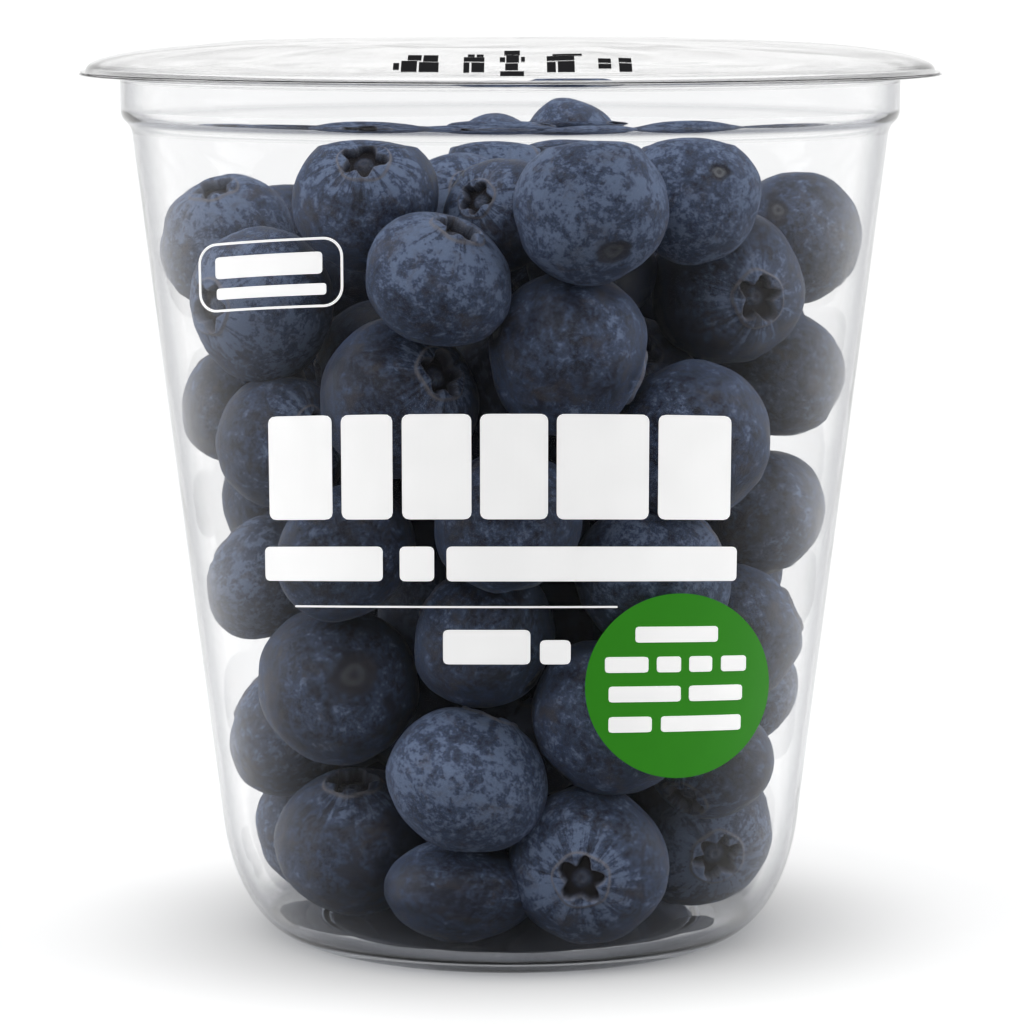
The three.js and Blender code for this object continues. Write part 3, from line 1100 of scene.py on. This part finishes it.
@dataclass
class Heap:
    """All berries in a few joined meshes, over a dark core that is painted shade deep in the heap.
    """

    seen_pieces: int = 3
    fill_pieces: int = 2
    core_inset: float = 20.0
    core_bottom: float = 3.6
    core_top: float = 64.0
    # Painted shade deepens from shade_start to shade_end millimetres in from the wall or down from
    # lit_top, up to shade_share.
    lit_top: float = 92.0
    shade_start: float = 8.0
    shade_end: float = 17.0
    shade_share: float = 0.75
    seed: int = 911

    def build(self) -> list[bpy.types.Object]:
        """Builds the berries and the core, and dresses them.

        Returns:
            The pieces of the heap.
        """
        berries = Packing().pack()
        seen = [berry for berry in berries if berry.seen]
        fill = [berry for berry in berries if not berry.seen]
        LOG.info("%d berries show at the front and %d fill the rest", len(seen), len(fill))
        skin = BerryFinish().material()
        draw = Draws(self.seed)
        pieces = []
        for label, group, count, fineness in (
            ("front", seen, self.seen_pieces, FINE), ("fill", fill, self.fill_pieces, PLAIN),
        ):
            group.sort(key=lambda berry: -berry.z)
            size = math.ceil(len(group) / count)
            for k in range(count):
                name = f"berries_{label}_{k + 1}"
                pieces.append(self.join(name, group[k * size:(k + 1) * size], fineness, draw))
        for piece in pieces:
            piece.data.materials.append(skin)
        pieces.append(self.core())
        for piece in pieces:
            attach(piece, BODY)
            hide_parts("berries")
        return pieces

    def join(self, name: str, berries: list[Berry], fineness: Fineness,
             draw: Draws) -> bpy.types.Object:
        """Joins several berries into one mesh that keeps each berry's skin places.

        Args:
            name: The name of the piece.
            berries: The berries to join.
            fineness: How finely they are cut.
            draw: The row of random numbers.

        Returns:
            The new object.
        """
        places, skin, marks, draws, faces = [], [], [], [], []
        start = 0
        for berry in berries:
            corners, ways, mark, cells = BerryMesh(fineness, draw).build(berry)
            places.append(corners)
            skin.append(ways)
            marks.append(mark)
            draws.append(np.tile([draw(), draw(), draw()], (len(corners), 1)))
            faces.extend(tuple(start + corner for corner in cell) for cell in cells)
            start += len(corners)
        item = new_object(name, np.vstack(places), faces)
        for title, kind, key, values in (
            ("berry_place", "FLOAT_VECTOR", "vector", np.vstack(skin)),
            ("berry_draw", "FLOAT_VECTOR", "vector", np.vstack(draws)),
            ("berry_marks", "FLOAT_COLOR", "color", np.vstack(marks)),
        ):
            layer = item.data.attributes.new(title, kind, "POINT")
            layer.data.foreach_set(key, values.astype(np.float32).ravel())
        # Painted shade of skin deep between berries, kept as an attribute.
        depth = item.data.attributes.new(BERRY_SHADE_MAP, "FLOAT", "POINT")
        depth.data.foreach_set("value", self.depth(np.vstack(places)).astype(np.float32))
        LOG.info("%s has %d faces", name, len(faces))
        return item

    def depth(self, places: np.ndarray) -> np.ndarray:
        """Returns the painted shade of skin deep between berries, from 0 to 1.

        Args:
            places: Points of the skin in millimetres, one row each.

        Returns:
            The shade of each point.
        """
        radius, height = np.hypot(places[:, 0], places[:, 1]), places[:, 2]
        wall = np.array([TUB.wall_radius(z) for z in height])
        behind = np.minimum(wall - radius, self.lit_top - height)
        return self.shade_share * smooth_step(self.shade_start, self.shade_end, behind)

    def core(self) -> bpy.types.Object:
        """Builds the dark middle of the heap, painted shade that shows only deep between berries.

        Returns:
            The new object.
        """
        steps = 24
        outline: list[Point] = [(0.0, self.core_bottom)]
        for i in range(steps + 1):
            z = self.core_bottom + (self.core_top - self.core_bottom) * i / steps
            end = min(i, steps - i) / 4
            round_end = math.sqrt(1 - (1 - min(1.0, end)) ** 2)
            radius = (TUB.wall_radius(z) - self.core_inset) * max(0.35, round_end)
            outline.append((max(2.0, radius), z))
        outline.append((0.0, self.core_top))

        def bumps(radius: np.ndarray, turn: np.ndarray) -> np.ndarray:
            return 1.2 * np.sin(6 * turn + radius)

        item = turned("berries_painted_shade_core", outline, 72, bumps)
        item.data.materials.append(self.painted_shade_core_finish())
        return item

    def painted_shade_core_finish(self) -> bpy.types.Material:
        """Builds the near-black skin of the core, painted shade in place of berries deep in the
        heap.

        Returns:
            The material.
        """
        material, shader, out = new_material("berry_core_painted_shade")
        place = shader.add("TexCoord").outputs["Object"]
        bloom = grouped(shader, Effect.BLOOM, {
            "Place": shader.shifted(place, (120.0, 120.0, 120.0), (3.0, 5.0, 7.0)), "Cover": -0.2,
        }).outputs
        # Painted shade: the core is near black, darker than the berries' wax.
        skin = shader.mixed(bloom["Cover"], (0.006, 0.008, 0.014, 1.0), (0.024, 0.032, 0.056, 1.0))
        body = shader.add("BsdfPrincipled", {
            "Base Color": skin, "Roughness": 0.9, "Specular IOR Level": 0.03,
        })
        shader.tree.links.new(body.outputs[0], out.inputs["Surface"])
        return material


@dataclass
class Tub:
    """The clear tub."""

    sides: int = 224
    step_lift: float = 0.17
    # Painted shade: a dark line along the step, with its strength, height over the step and width,
    # and a darker base and middle panel.
    step_shade: float = 0.8
    step_shade_over: float = 0.85
    step_shade_width: float = 0.3
    base_shade: float = 0.62
    panel_shade: float = 0.34

    def outline(self) -> list[Point]:
        """Returns the tub's outline, up the outside and down the inside.

        Returns:
            Radius and height of each point.
        """
        t = TUB
        inner_stand = t.stand_radius - t.stand_width
        step = t.wall_radius(t.step_height)
        under = t.rim_height - t.flange_thickness
        lip = t.rim_height - t.lip_thickness
        flange = t.flange_radius
        foot = rounded([
            (0.0, t.panel_lift, 0), (inner_stand - t.panel_lift, t.panel_lift, 0.5),
            (inner_stand, 0.0, 0.4), (t.stand_radius, 0.0, 0),
        ])[:-1]
        wall = t.corner(0.0, 0.0, 28)[:-1]
        low_step = (step - 0.2, t.step_height - 1.6)
        wall += self.straight(t.corner(0.0, 0.0, 1)[-1], low_step, 30)
        wall += rounded([
            (*low_step, 0), (step, t.step_height, 0.7),
            (t.collar_radius, t.step_height + t.step_rise, 0.7),
            (t.collar_radius + 0.02, under - 1.0, 0),
        ], 10)
        rim = rounded([
            (t.collar_radius + 0.02, under - 1.0, 0), (t.collar_radius + 0.03, under, 1.1),
            (flange - 0.15, lip, 0.1), (flange, 0.5 * (lip + t.rim_height), 0.08),
            (flange - 0.15, t.rim_height, 0.1),
            (t.collar_radius - t.wall + 0.05, t.rim_height, 0.9), (*self.inset(wall)[-1], 0),
        ])[1:-1]
        inside = [point for point in self.inset(wall)[::-1] if point[1] > t.floor_height]
        return foot + wall + rim + inside + [
            (inner_stand - 1.0, t.floor_height), (0.0, t.floor_height),
        ]

    def inset(self, points: list[Point]) -> list[Point]:
        """Returns points moved inwards by the wall's thickness, square to their line.

        Round the step the inside lies a little higher, so that the wall is thicker
        there and bends the light into thin lines.

        Args:
            points: Radius and height of the outside, from low to high.

        Returns:
            The moved points.
        """
        moved = []
        for i, (x, y) in enumerate(points):
            before = points[max(0, i - 1)]
            after = points[min(len(points) - 1, i + 1)]
            along = Vector((after[0] - before[0], after[1] - before[1])).normalized()
            lift = self.step_lift * (y > TUB.step_height - 1.5 and y < TUB.step_height + 2.4)
            moved.append((x - TUB.wall * along.y, y + TUB.wall * along.x + lift))
        return moved

    def straight(self, start: Point, end: Point, count: int) -> list[Point]:
        """Returns points on a straight line, with its start and without its end.

        Args:
            start: The first point.
            end: The point after the last one.
            count: The number of steps.

        Returns:
            The points.
        """
        return [
            (start[0] + (end[0] - start[0]) * i / count, start[1] + (end[1] - start[1]) * i / count)
            for i in range(count)
        ]

    def build(self) -> bpy.types.Object:
        """Builds the tub and dresses it.

        Returns:
            The new object.
        """
        item = turned("clear_tub", self.outline(), self.sides)
        self.shade(item)
        item.data.materials.append(ClearFinish("clear_tub").material())
        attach(item, BODY)
        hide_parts("tub")
        return item

    def shade(self, item: bpy.types.Object) -> None:
        """Marks painted shade on the plastic: a dark line along the step and a darker base.

        Args:
            item: The tub's mesh object, which gets the shade as an attribute.
        """
        places = np.array([corner.co for corner in item.data.vertices]) / MM
        radius, height = np.hypot(places[:, 0], places[:, 1]), places[:, 2]
        # The painted line along the step is strongest on the front half of the tub.
        front = 0.2 + 0.8 * smooth_step(0.25, -0.25, places[:, 1] / np.maximum(radius, 1.0))
        line = TUB.step_height + self.step_shade_over
        step = self.step_shade * hump(line, self.step_shade_width, height) * front
        panel = (radius < TUB.stand_radius - TUB.stand_width - 0.7) * (height < 2.0)
        base = self.base_shade * smooth_step(4.5, 1.5, height) + self.panel_shade * panel
        layer = item.data.attributes.new(SHADE_MAP, "FLOAT", "POINT")
        layer.data.foreach_set("value", np.maximum(step, base).astype(np.float32))


@dataclass
class LidFilm:
    """The clear film on the flange, domed and a little wrinkled."""

    gap: float = 0.06
    thickness: float = 0.12
    radius: float = 47.3
    rise: float = 3.7
    roundness: float = 2.5
    sides: int = 256
    rings: int = 64
    wrinkle: float = 0.16

    def height(self, radius: float) -> float:
        """Returns the height of the dome over its seal."""
        share = min(1.0, radius / (self.radius - 0.6))
        return self.rise * (1 - share**self.roundness) ** (1 / self.roundness)

    def wrinkles(self, radius: np.ndarray, turn: np.ndarray) -> np.ndarray:
        """Returns soft folds that run in from the seal and fade to the middle.

        Args:
            radius: Distances from the axis.
            turn: Angles round the axis.

        Returns:
            The extra height of each point.
        """
        out = radius / self.radius
        fade = smooth_step(0.25, 0.75, out) * smooth_step(0.985, 0.9, out)
        folds = np.sin(9 * turn + 1.3 * np.sin(2 * turn)) + 0.6 * np.sin(17 * turn + 2.0 + 3 * out)
        sag = -0.10 * (1 - out**2) * (1 + 0.4 * np.sin(2 * turn + 0.7))
        rings = 0.35 * np.sin(24 * out + 2.2 * np.sin(turn))
        return self.wrinkle * fade * 0.5 * (folds + rings) + sag * (out < 0.98)

    def build(self) -> bpy.types.Object:
        """Builds the film and dresses it.

        Returns:
            The new object.
        """
        bottom = TUB.rim_height + self.gap
        share = np.sin(np.linspace(0.0, math.pi / 2, self.rings))
        radii = [float(self.radius * part) for part in share]
        lower = [(r, bottom + self.height(r)) for r in radii]
        upper = [(r, bottom + self.thickness + self.height(r)) for r in reversed(radii)]
        item = turned("lid_film", lower + upper, self.sides, self.wrinkles)
        item.data.materials.append(ClearFinish(
            "clear_film", tint=grey(0.995), ior=1.45, wave_size=60.0, wave_depth=0.0001,
            edge=grey(0.97),
        ).material())
        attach(item, BODY)
        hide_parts("lid_film")
        return item


def thin_skin(name: str, grids: list[list[list[Point]]],
              place: Callable[[float, float, float], Place],
              lift: float, ink: Ink) -> bpy.types.Object:
    """Makes closed thin skins of ink from grids of points.

    Args:
        name: The name of the piece.
        grids: Each one a grid of flat points, columns of rows.
        place: Gives the place of a flat point at a distance off the surface.
        lift: How far the skins lie off the surface.
        ink: Their colour.

    Returns:
        The new object.
    """
    places: list[Place] = []
    faces: Faces = []
    for grid in grids:
        columns, rows = len(grid), len(grid[0])
        start, layer = len(places), columns * rows
        for off in (lift + INK_THICKNESS, lift):
            places.extend(place(x, z, off) for column in grid for x, z in column)
        for c in range(columns - 1):
            for r in range(rows - 1):
                a = start + c * rows + r
                faces.append((a, a + rows, a + rows + 1, a + 1))
                faces.append((a + layer, a + layer + 1, a + layer + rows + 1, a + layer + rows))
        rim = [c * rows for c in range(columns)]
        rim += [(columns - 1) * rows + r for r in range(1, rows)]
        rim += [c * rows + rows - 1 for c in range(columns - 2, -1, -1)]
        rim += [r for r in range(rows - 2, 0, -1)]
        for i, corner in enumerate(rim):
            after = rim[(i + 1) % len(rim)]
            a, b = start + corner, start + after
            faces.append((a, a + layer, b + layer, b))
    item = new_object(name, np.array(places), faces)
    item.data.polygons.foreach_set("use_smooth", [False] * len(item.data.polygons))
    item.data.materials.append(InkFinish(ink).material())
    return item


@dataclass(frozen=True)
class Block:
    """A rounded rectangle of the print, as it is seen from the front."""

    left: float
    right: float
    low: float
    high: float
    corner: float = 0.4

    def span(self, x: float) -> Point:
        """Returns the lowest and highest height of the block at a place across.

        Args:
            x: A place across the block.

        Returns:
            The two heights.
        """
        corner = min(self.corner, 0.5 * (self.high - self.low), 0.5 * (self.right - self.left))
        into = max(0.0, corner - min(x - self.left, self.right - x))
        cut = corner - math.sqrt(max(0.0, corner**2 - into**2))
        return self.low + cut, self.high - cut

    def columns(self) -> list[float]:
        """Returns places across, closer at the rounded ends.

        Returns:
            The places, from left to right.
        """
        count = max(10, int((self.right - self.left) / 0.5))
        half = 0.5 * (self.right - self.left)
        return [
            self.left + half * (1 - math.cos(math.pi * i / count)) for i in range(count + 1)
        ]


@dataclass
class FrontPrint:
    """The print on the front wall, as thin skins that follow the wall."""

    fall: float = 0.135
    gap: float = 0.02
    disc_across: float = 17.9
    disc_height: float = 32.9
    disc_radius: float = 10.07
    rows: int = 4

    def on_wall(self, x: float, level: float, off: float) -> Place:
        """Returns the place on the wall of a point of the print.

        Args:
            x: Place across, as seen from the front.
            level: Height of the point on the front line of the wall.
            off: Distance out from the wall.

        Returns:
            The place in millimetres.
        """
        radius = TUB.wall_radius(level)
        angle = math.asin(max(-0.999, min(0.999, x / radius)))
        z = level - self.fall * radius * (1 - math.cos(angle))
        radius = TUB.wall_radius(z) + off
        return radius * math.sin(angle), -radius * math.cos(angle), z

    def block_grid(self, block: Block) -> list[list[Point]]:
        """Returns the grid of points of a block.

        Args:
            block: The block.

        Returns:
            Its columns of points.
        """
        grid = []
        for x in block.columns():
            low, high = block.span(x)
            high = max(high, low + 0.01)
            grid.append([(x, low + (high - low) * r / self.rows) for r in range(self.rows + 1)])
        return grid

    def frame_grid(self, block: Block, width: float) -> list[list[Point]]:
        """Returns the grid of points of a thin rounded frame.

        Args:
            block: The outer edge of the frame.
            width: Its width.

        Returns:
            Its columns of points.
        """
        centre_x, centre_z = 0.5 * (block.left + block.right), 0.5 * (block.low + block.high)
        half_x, half_z = 0.5 * (block.right - block.left), 0.5 * (block.high - block.low)
        grid = []
        steps = 10
        for side, (sx, sz) in enumerate(((1, 1), (-1, 1), (-1, -1), (1, -1), (1, 1))):
            count = steps if side < 4 else 0
            for i in range(count + 1):
                turn = math.pi / 2 * (side + i / steps)
                way = (math.cos(turn), math.sin(turn))
                middle = (
                    centre_x + sx * (half_x - block.corner),
                    centre_z + sz * (half_z - block.corner),
                )
                grid.append([
                    (middle[0] + way[0] * (block.corner - width * (1 - k)),
                     middle[1] + way[1] * (block.corner - width * (1 - k))) for k in (0, 1)
                ])
        return self.filled(grid)

    def filled(self, grid: list[list[Point]]) -> list[list[Point]]:
        """Adds columns to a grid where its columns lie far apart.

        Args:
            grid: Columns of points.

        Returns:
            The same with more columns.
        """
        full = []
        for a, b in zip(grid, grid[1:]):
            count = max(1, int(math.dist(a[0], b[0]) / 0.6))
            for i in range(count):
                t = i / count
                full.append([
                    (p[0] + (q[0] - p[0]) * t, p[1] + (q[1] - p[1]) * t) for p, q in zip(a, b)
                ])
        return full + [grid[-1]]

    def white_blocks(self) -> list[Block]:
        """Returns the white bars and blocks on the clear wall.

        Returns:
            The blocks.
        """
        title = (
            (-25.5, -18.6), (-17.6, -12.2), (-11.2, -4.0), (-3.1, 3.9), (4.8, 14.4), (15.4, 23.2),
        )
        blocks = [Block(left, right, 50.9, 62.0, 0.7) for left, right in title]
        subtitle = ((-26.1, -13.3), (-11.5, -7.9), (-6.6, 24.0))
        blocks += [Block(left, right, 44.3, 48.0, 0.5) for left, right in subtitle]
        blocks.append(Block(-22.8, 11.2, 41.45, 41.65, 0.05))
        blocks += [Block(-7.0, 2.1, 35.4, 39.1, 0.5), Block(3.1, 6.3, 35.4, 38.0, 0.5)]
        blocks += [Block(-31.2, -19.4, 76.9, 79.2, 0.4), Block(-31.1, -19.0, 74.7, 75.9, 0.3)]
        return blocks

    def disc_blocks(self) -> list[Block]:
        """Returns the white bars on the green disc.

        Returns:
            The blocks.
        """
        rows = (
            (38.55, ((13.1, 22.0),)),
            (35.3, ((9.9, 14.5), (15.4, 18.0), (18.9, 21.4), (22.4, 25.2))),
            (32.1, ((10.3, 18.0), (18.9, 24.8))),
            (28.8, ((10.3, 14.9), (15.9, 24.7))),
        )
        return [
            Block(left, right, middle - 0.85, middle + 0.85, 0.3)
            for middle, spans in rows for left, right in spans
        ]

    def disc_grid(self) -> list[list[Point]]:
        """Returns the grid of points of the green disc.

        Returns:
            Its columns of points.
        """
        disc = Block(
            self.disc_across - self.disc_radius, self.disc_across + self.disc_radius,
            self.disc_height - self.disc_radius, self.disc_height + self.disc_radius,
            self.disc_radius,
        )
        half, steps = self.disc_radius, 72
        grid = []
        for i in range(steps + 1):
            x = disc.left + half * (1 - math.cos(math.pi * i / steps))
            low, high = disc.span(x)
            high = max(high, low + 0.02)
            grid.append([(x, low + (high - low) * r / 12) for r in range(13)])
        return grid

    def build(self) -> list[bpy.types.Object]:
        """Builds the print and dresses it.

        Returns:
            The pieces of the print.
        """
        white = thin_skin(
            "print_white", [self.block_grid(block) for block in self.white_blocks()],
            self.on_wall, self.gap, Ink.WHITE,
        )
        outline = thin_skin(
            "print_outline", [self.frame_grid(Block(-33.2, -17.2, 73.4, 80.7, 2.1), 0.26)],
            self.on_wall, self.gap, Ink.WHITE,
        )
        green = thin_skin("print_disc", [self.disc_grid()], self.on_wall, self.gap, Ink.GREEN)
        bars = thin_skin(
            "print_disc_bars", [self.block_grid(block) for block in self.disc_blocks()],
            self.on_wall, self.gap + INK_THICKNESS, Ink.WHITE,
        )
        for item in (white, outline, green, bars):
            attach(item, BODY)
        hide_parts("round_label")
        return [white, outline, green, bars]


@dataclass
class FilmMarks:
    """A row of plain black blocks on the film, near its front edge.

    Each block has its left and right end across, and the distances from the axis
    that it starts and ends at.
    """

    film: LidFilm
    gap: float = 0.02
    blocks: tuple[tuple[float, float, float, float], ...] = (
        (-10.4, -9.0, 38.7, 42.0), (-8.8, -7.3, 38.7, 42.6), (-11.0, -9.4, 42.6, 46.0),
        (-9.2, -7.2, 43.1, 46.0), (-11.8, -11.2, 43.6, 45.6),
        (-4.3, -3.6, 37.5, 39.3), (-3.4, -2.7, 37.5, 39.3), (-4.7, -2.6, 39.9, 42.2),
        (-4.7, -4.1, 42.9, 46.1), (-3.9, -2.6, 42.9, 46.0),
        (-0.6, 1.0, 33.4, 37.6), (-1.05, -0.5, 39.9, 42.4), (-0.4, 0.9, 38.4, 42.8),
        (1.1, 1.5, 39.9, 42.4), (-0.5, 0.8, 43.4, 45.6), (-1.0, 1.4, 45.9, 46.5),
        (4.3, 7.3, 38.5, 39.5), (3.7, 6.5, 40.0, 42.4), (3.7, 4.6, 43.2, 46.0),
        (4.8, 6.5, 43.0, 46.0),
        (8.9, 10.2, 41.5, 43.4), (8.9, 10.2, 44.0, 45.3),
        (11.0, 12.3, 40.8, 42.9), (11.0, 12.3, 43.6, 46.0),
    )

    def on_film(self, x: float, inwards: float, off: float) -> Place:
        """Returns the place of a point on the film's front.

        Args:
            x: Place across.
            inwards: Distance from the axis, with a minus sign.
            off: Height over the film.

        Returns:
            The place in millimetres.
        """
        turn = math.asin(x / -inwards)
        wave = float(self.film.wrinkles(np.array([-inwards]), np.array([turn]))[0])
        top = TUB.rim_height + self.film.gap + self.film.thickness + self.film.height(-inwards)
        return x, inwards * math.cos(turn), top + wave + off

    def build(self) -> bpy.types.Object:
        """Builds the marks and dresses them.

        Returns:
            The new object.
        """
        grids = [
            [[(left + (right - left) * c / 4, -far + (far - near) * r / 8) for r in range(9)]
             for c in range(5)]
            for left, right, near, far in self.blocks
        ]
        item = thin_skin("film_marks", grids, self.on_film, self.gap, Ink.BLACK)
        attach(item, BODY)
        return item


@dataclass
class Studio:
    """A pale floor, soft light and the camera.

    The floor glows as painted light, more from near the tub outwards, which lifts the
    shadow round the tub, and less far away, by fall: each of the two has a start and an
    end in metres and the emission at both.
    """

    distance: float = 0.4998
    height: float = 0.1089
    aside: float = 0.00019
    pitch: float = math.radians(7.05)
    focal: float = 158.5
    floor_size: float = 60.0
    shadow_lifting_light: tuple[float, float, float, float] = (0.022, 0.055, 0.0, 0.27)
    fall: tuple[float, float, float, float] = (0.07, 0.30, 0.0, -0.14)

    def floor(self) -> None:
        """Adds the pale floor."""
        half = self.floor_size / 2 / MM
        corners = [[-half, -half, 0], [half, -half, 0], [half, half, 0], [-half, half, 0]]
        places = np.array(corners, float)
        item = new_object("floor", places, [(0, 1, 2, 3)])
        material, shader, out = new_material("floor")
        place = shader.add("TexCoord").outputs["Object"]
        tone = shader.mixed(shader.noise(place, 30.0, 3.0), grey(0.66), grey(0.68))
        away = shader.add("VectorMath", {0: place}, operation="LENGTH").outputs["Value"]
        # Painted light: the floor glows more from near the tub outwards and lifts the shadow round
        # it.
        shadow_lifting_light = shader.scaled(away, *self.shadow_lifting_light)
        fall = shader.scaled(away, *self.fall)
        body = shader.add("BsdfPrincipled", {
            "Base Color": tone, "Roughness": 0.9, "Specular IOR Level": 0.0,
            "Emission Color": grey(1.0), "Emission Strength": shader.maths("ADD", shadow_lifting_light, fall),
        })
        dim = shader.add("BsdfDiffuse", {"Color": grey(0.18)})
        light = shader.add("LightPath").outputs["Is Diffuse Ray"]
        mix = shader.add("MixShader", {0: light, 1: body.outputs[0], 2: dim.outputs[0]})
        shader.tree.links.new(mix.outputs[0], out.inputs["Surface"])
        item.data.materials.append(material)

    def world(self) -> None:
        """Sets the white surroundings: bright behind and above, softer in front."""
        world = bpy.data.worlds.new("studio")
        bpy.context.scene.world = world
        world.use_nodes = True
        world.node_tree.nodes.clear()
        shader = Shader(world.node_tree)
        way = shader.add("TexCoord").outputs["Generated"]
        axis = shader.add("SeparateXYZ", {0: way}).outputs
        level = shader.scaled(axis[1], -0.9, 0.3, 0.15, 1.0)
        sky = shader.add("Background", {"Color": grey(1.0), "Strength": level})
        out = shader.add("OutputWorld", {"Surface": sky.outputs[0]})
        out.is_active_output = True

    def lamp(self, name: str, place: Place, spread: float, strength: float) -> None:
        """Adds a wide soft light that shines evenly from one side.

        Args:
            name: The lamp's name.
            place: Where it lies, as seen from the tub.
            spread: How wide it looks from the tub, in degrees.
            strength: Its strength.
        """
        data = bpy.data.lights.new(name, "SUN")
        data.angle = math.radians(spread)
        data.energy = strength
        lamp = bpy.data.objects.new(name, data)
        lamp.location = place
        lamp.rotation_euler = (-Vector(place)).to_track_quat("-Z", "Y").to_euler()
        bpy.context.scene.collection.objects.link(lamp)

    def camera(self) -> None:
        """Adds the camera at the shown viewing angle."""
        data = bpy.data.cameras.new("camera")
        data.sensor_width = 36.0
        data.lens = self.focal
        data.clip_start = 0.01
        data.clip_end = 100.0
        camera = bpy.data.objects.new("camera", data)
        camera.location = (self.aside, -self.distance, self.height)
        camera.rotation_euler = (math.pi / 2 - self.pitch, 0, 0)
        bpy.context.scene.collection.objects.link(camera)
        bpy.context.scene.camera = camera

    def build(self) -> None:
        """Builds the studio."""
        self.floor()
        self.world()
        self.lamp("front_softbox", (-0.14, -0.64, 0.80), 60.0, 1.7)
        self.lamp("left_softbox", (-0.95, -0.05, 0.30), 50.0, 1.2)
        self.lamp("right_softbox", (0.95, -0.05, 0.30), 50.0, 1.4)
        self.camera()
        bpy.context.scene.view_settings.view_transform = "Standard"


def main() -> None:
    """Builds every piece in order and reports each one."""
    logging.basicConfig(level=logging.INFO, format="%(name)s: %(message)s")
    Studio().build()
    pieces = Heap().build()
    film = LidFilm()
    pieces += [Tub().build(), film.build()]
    pieces += FrontPrint().build()
    pieces.append(FilmMarks(film).build())
    for piece in pieces:
        mesh = piece.data
        LOG.info("%s: %d corners, %d faces", piece.name, len(mesh.vertices), len(mesh.polygons))


if __name__ == "__main__":
    main()
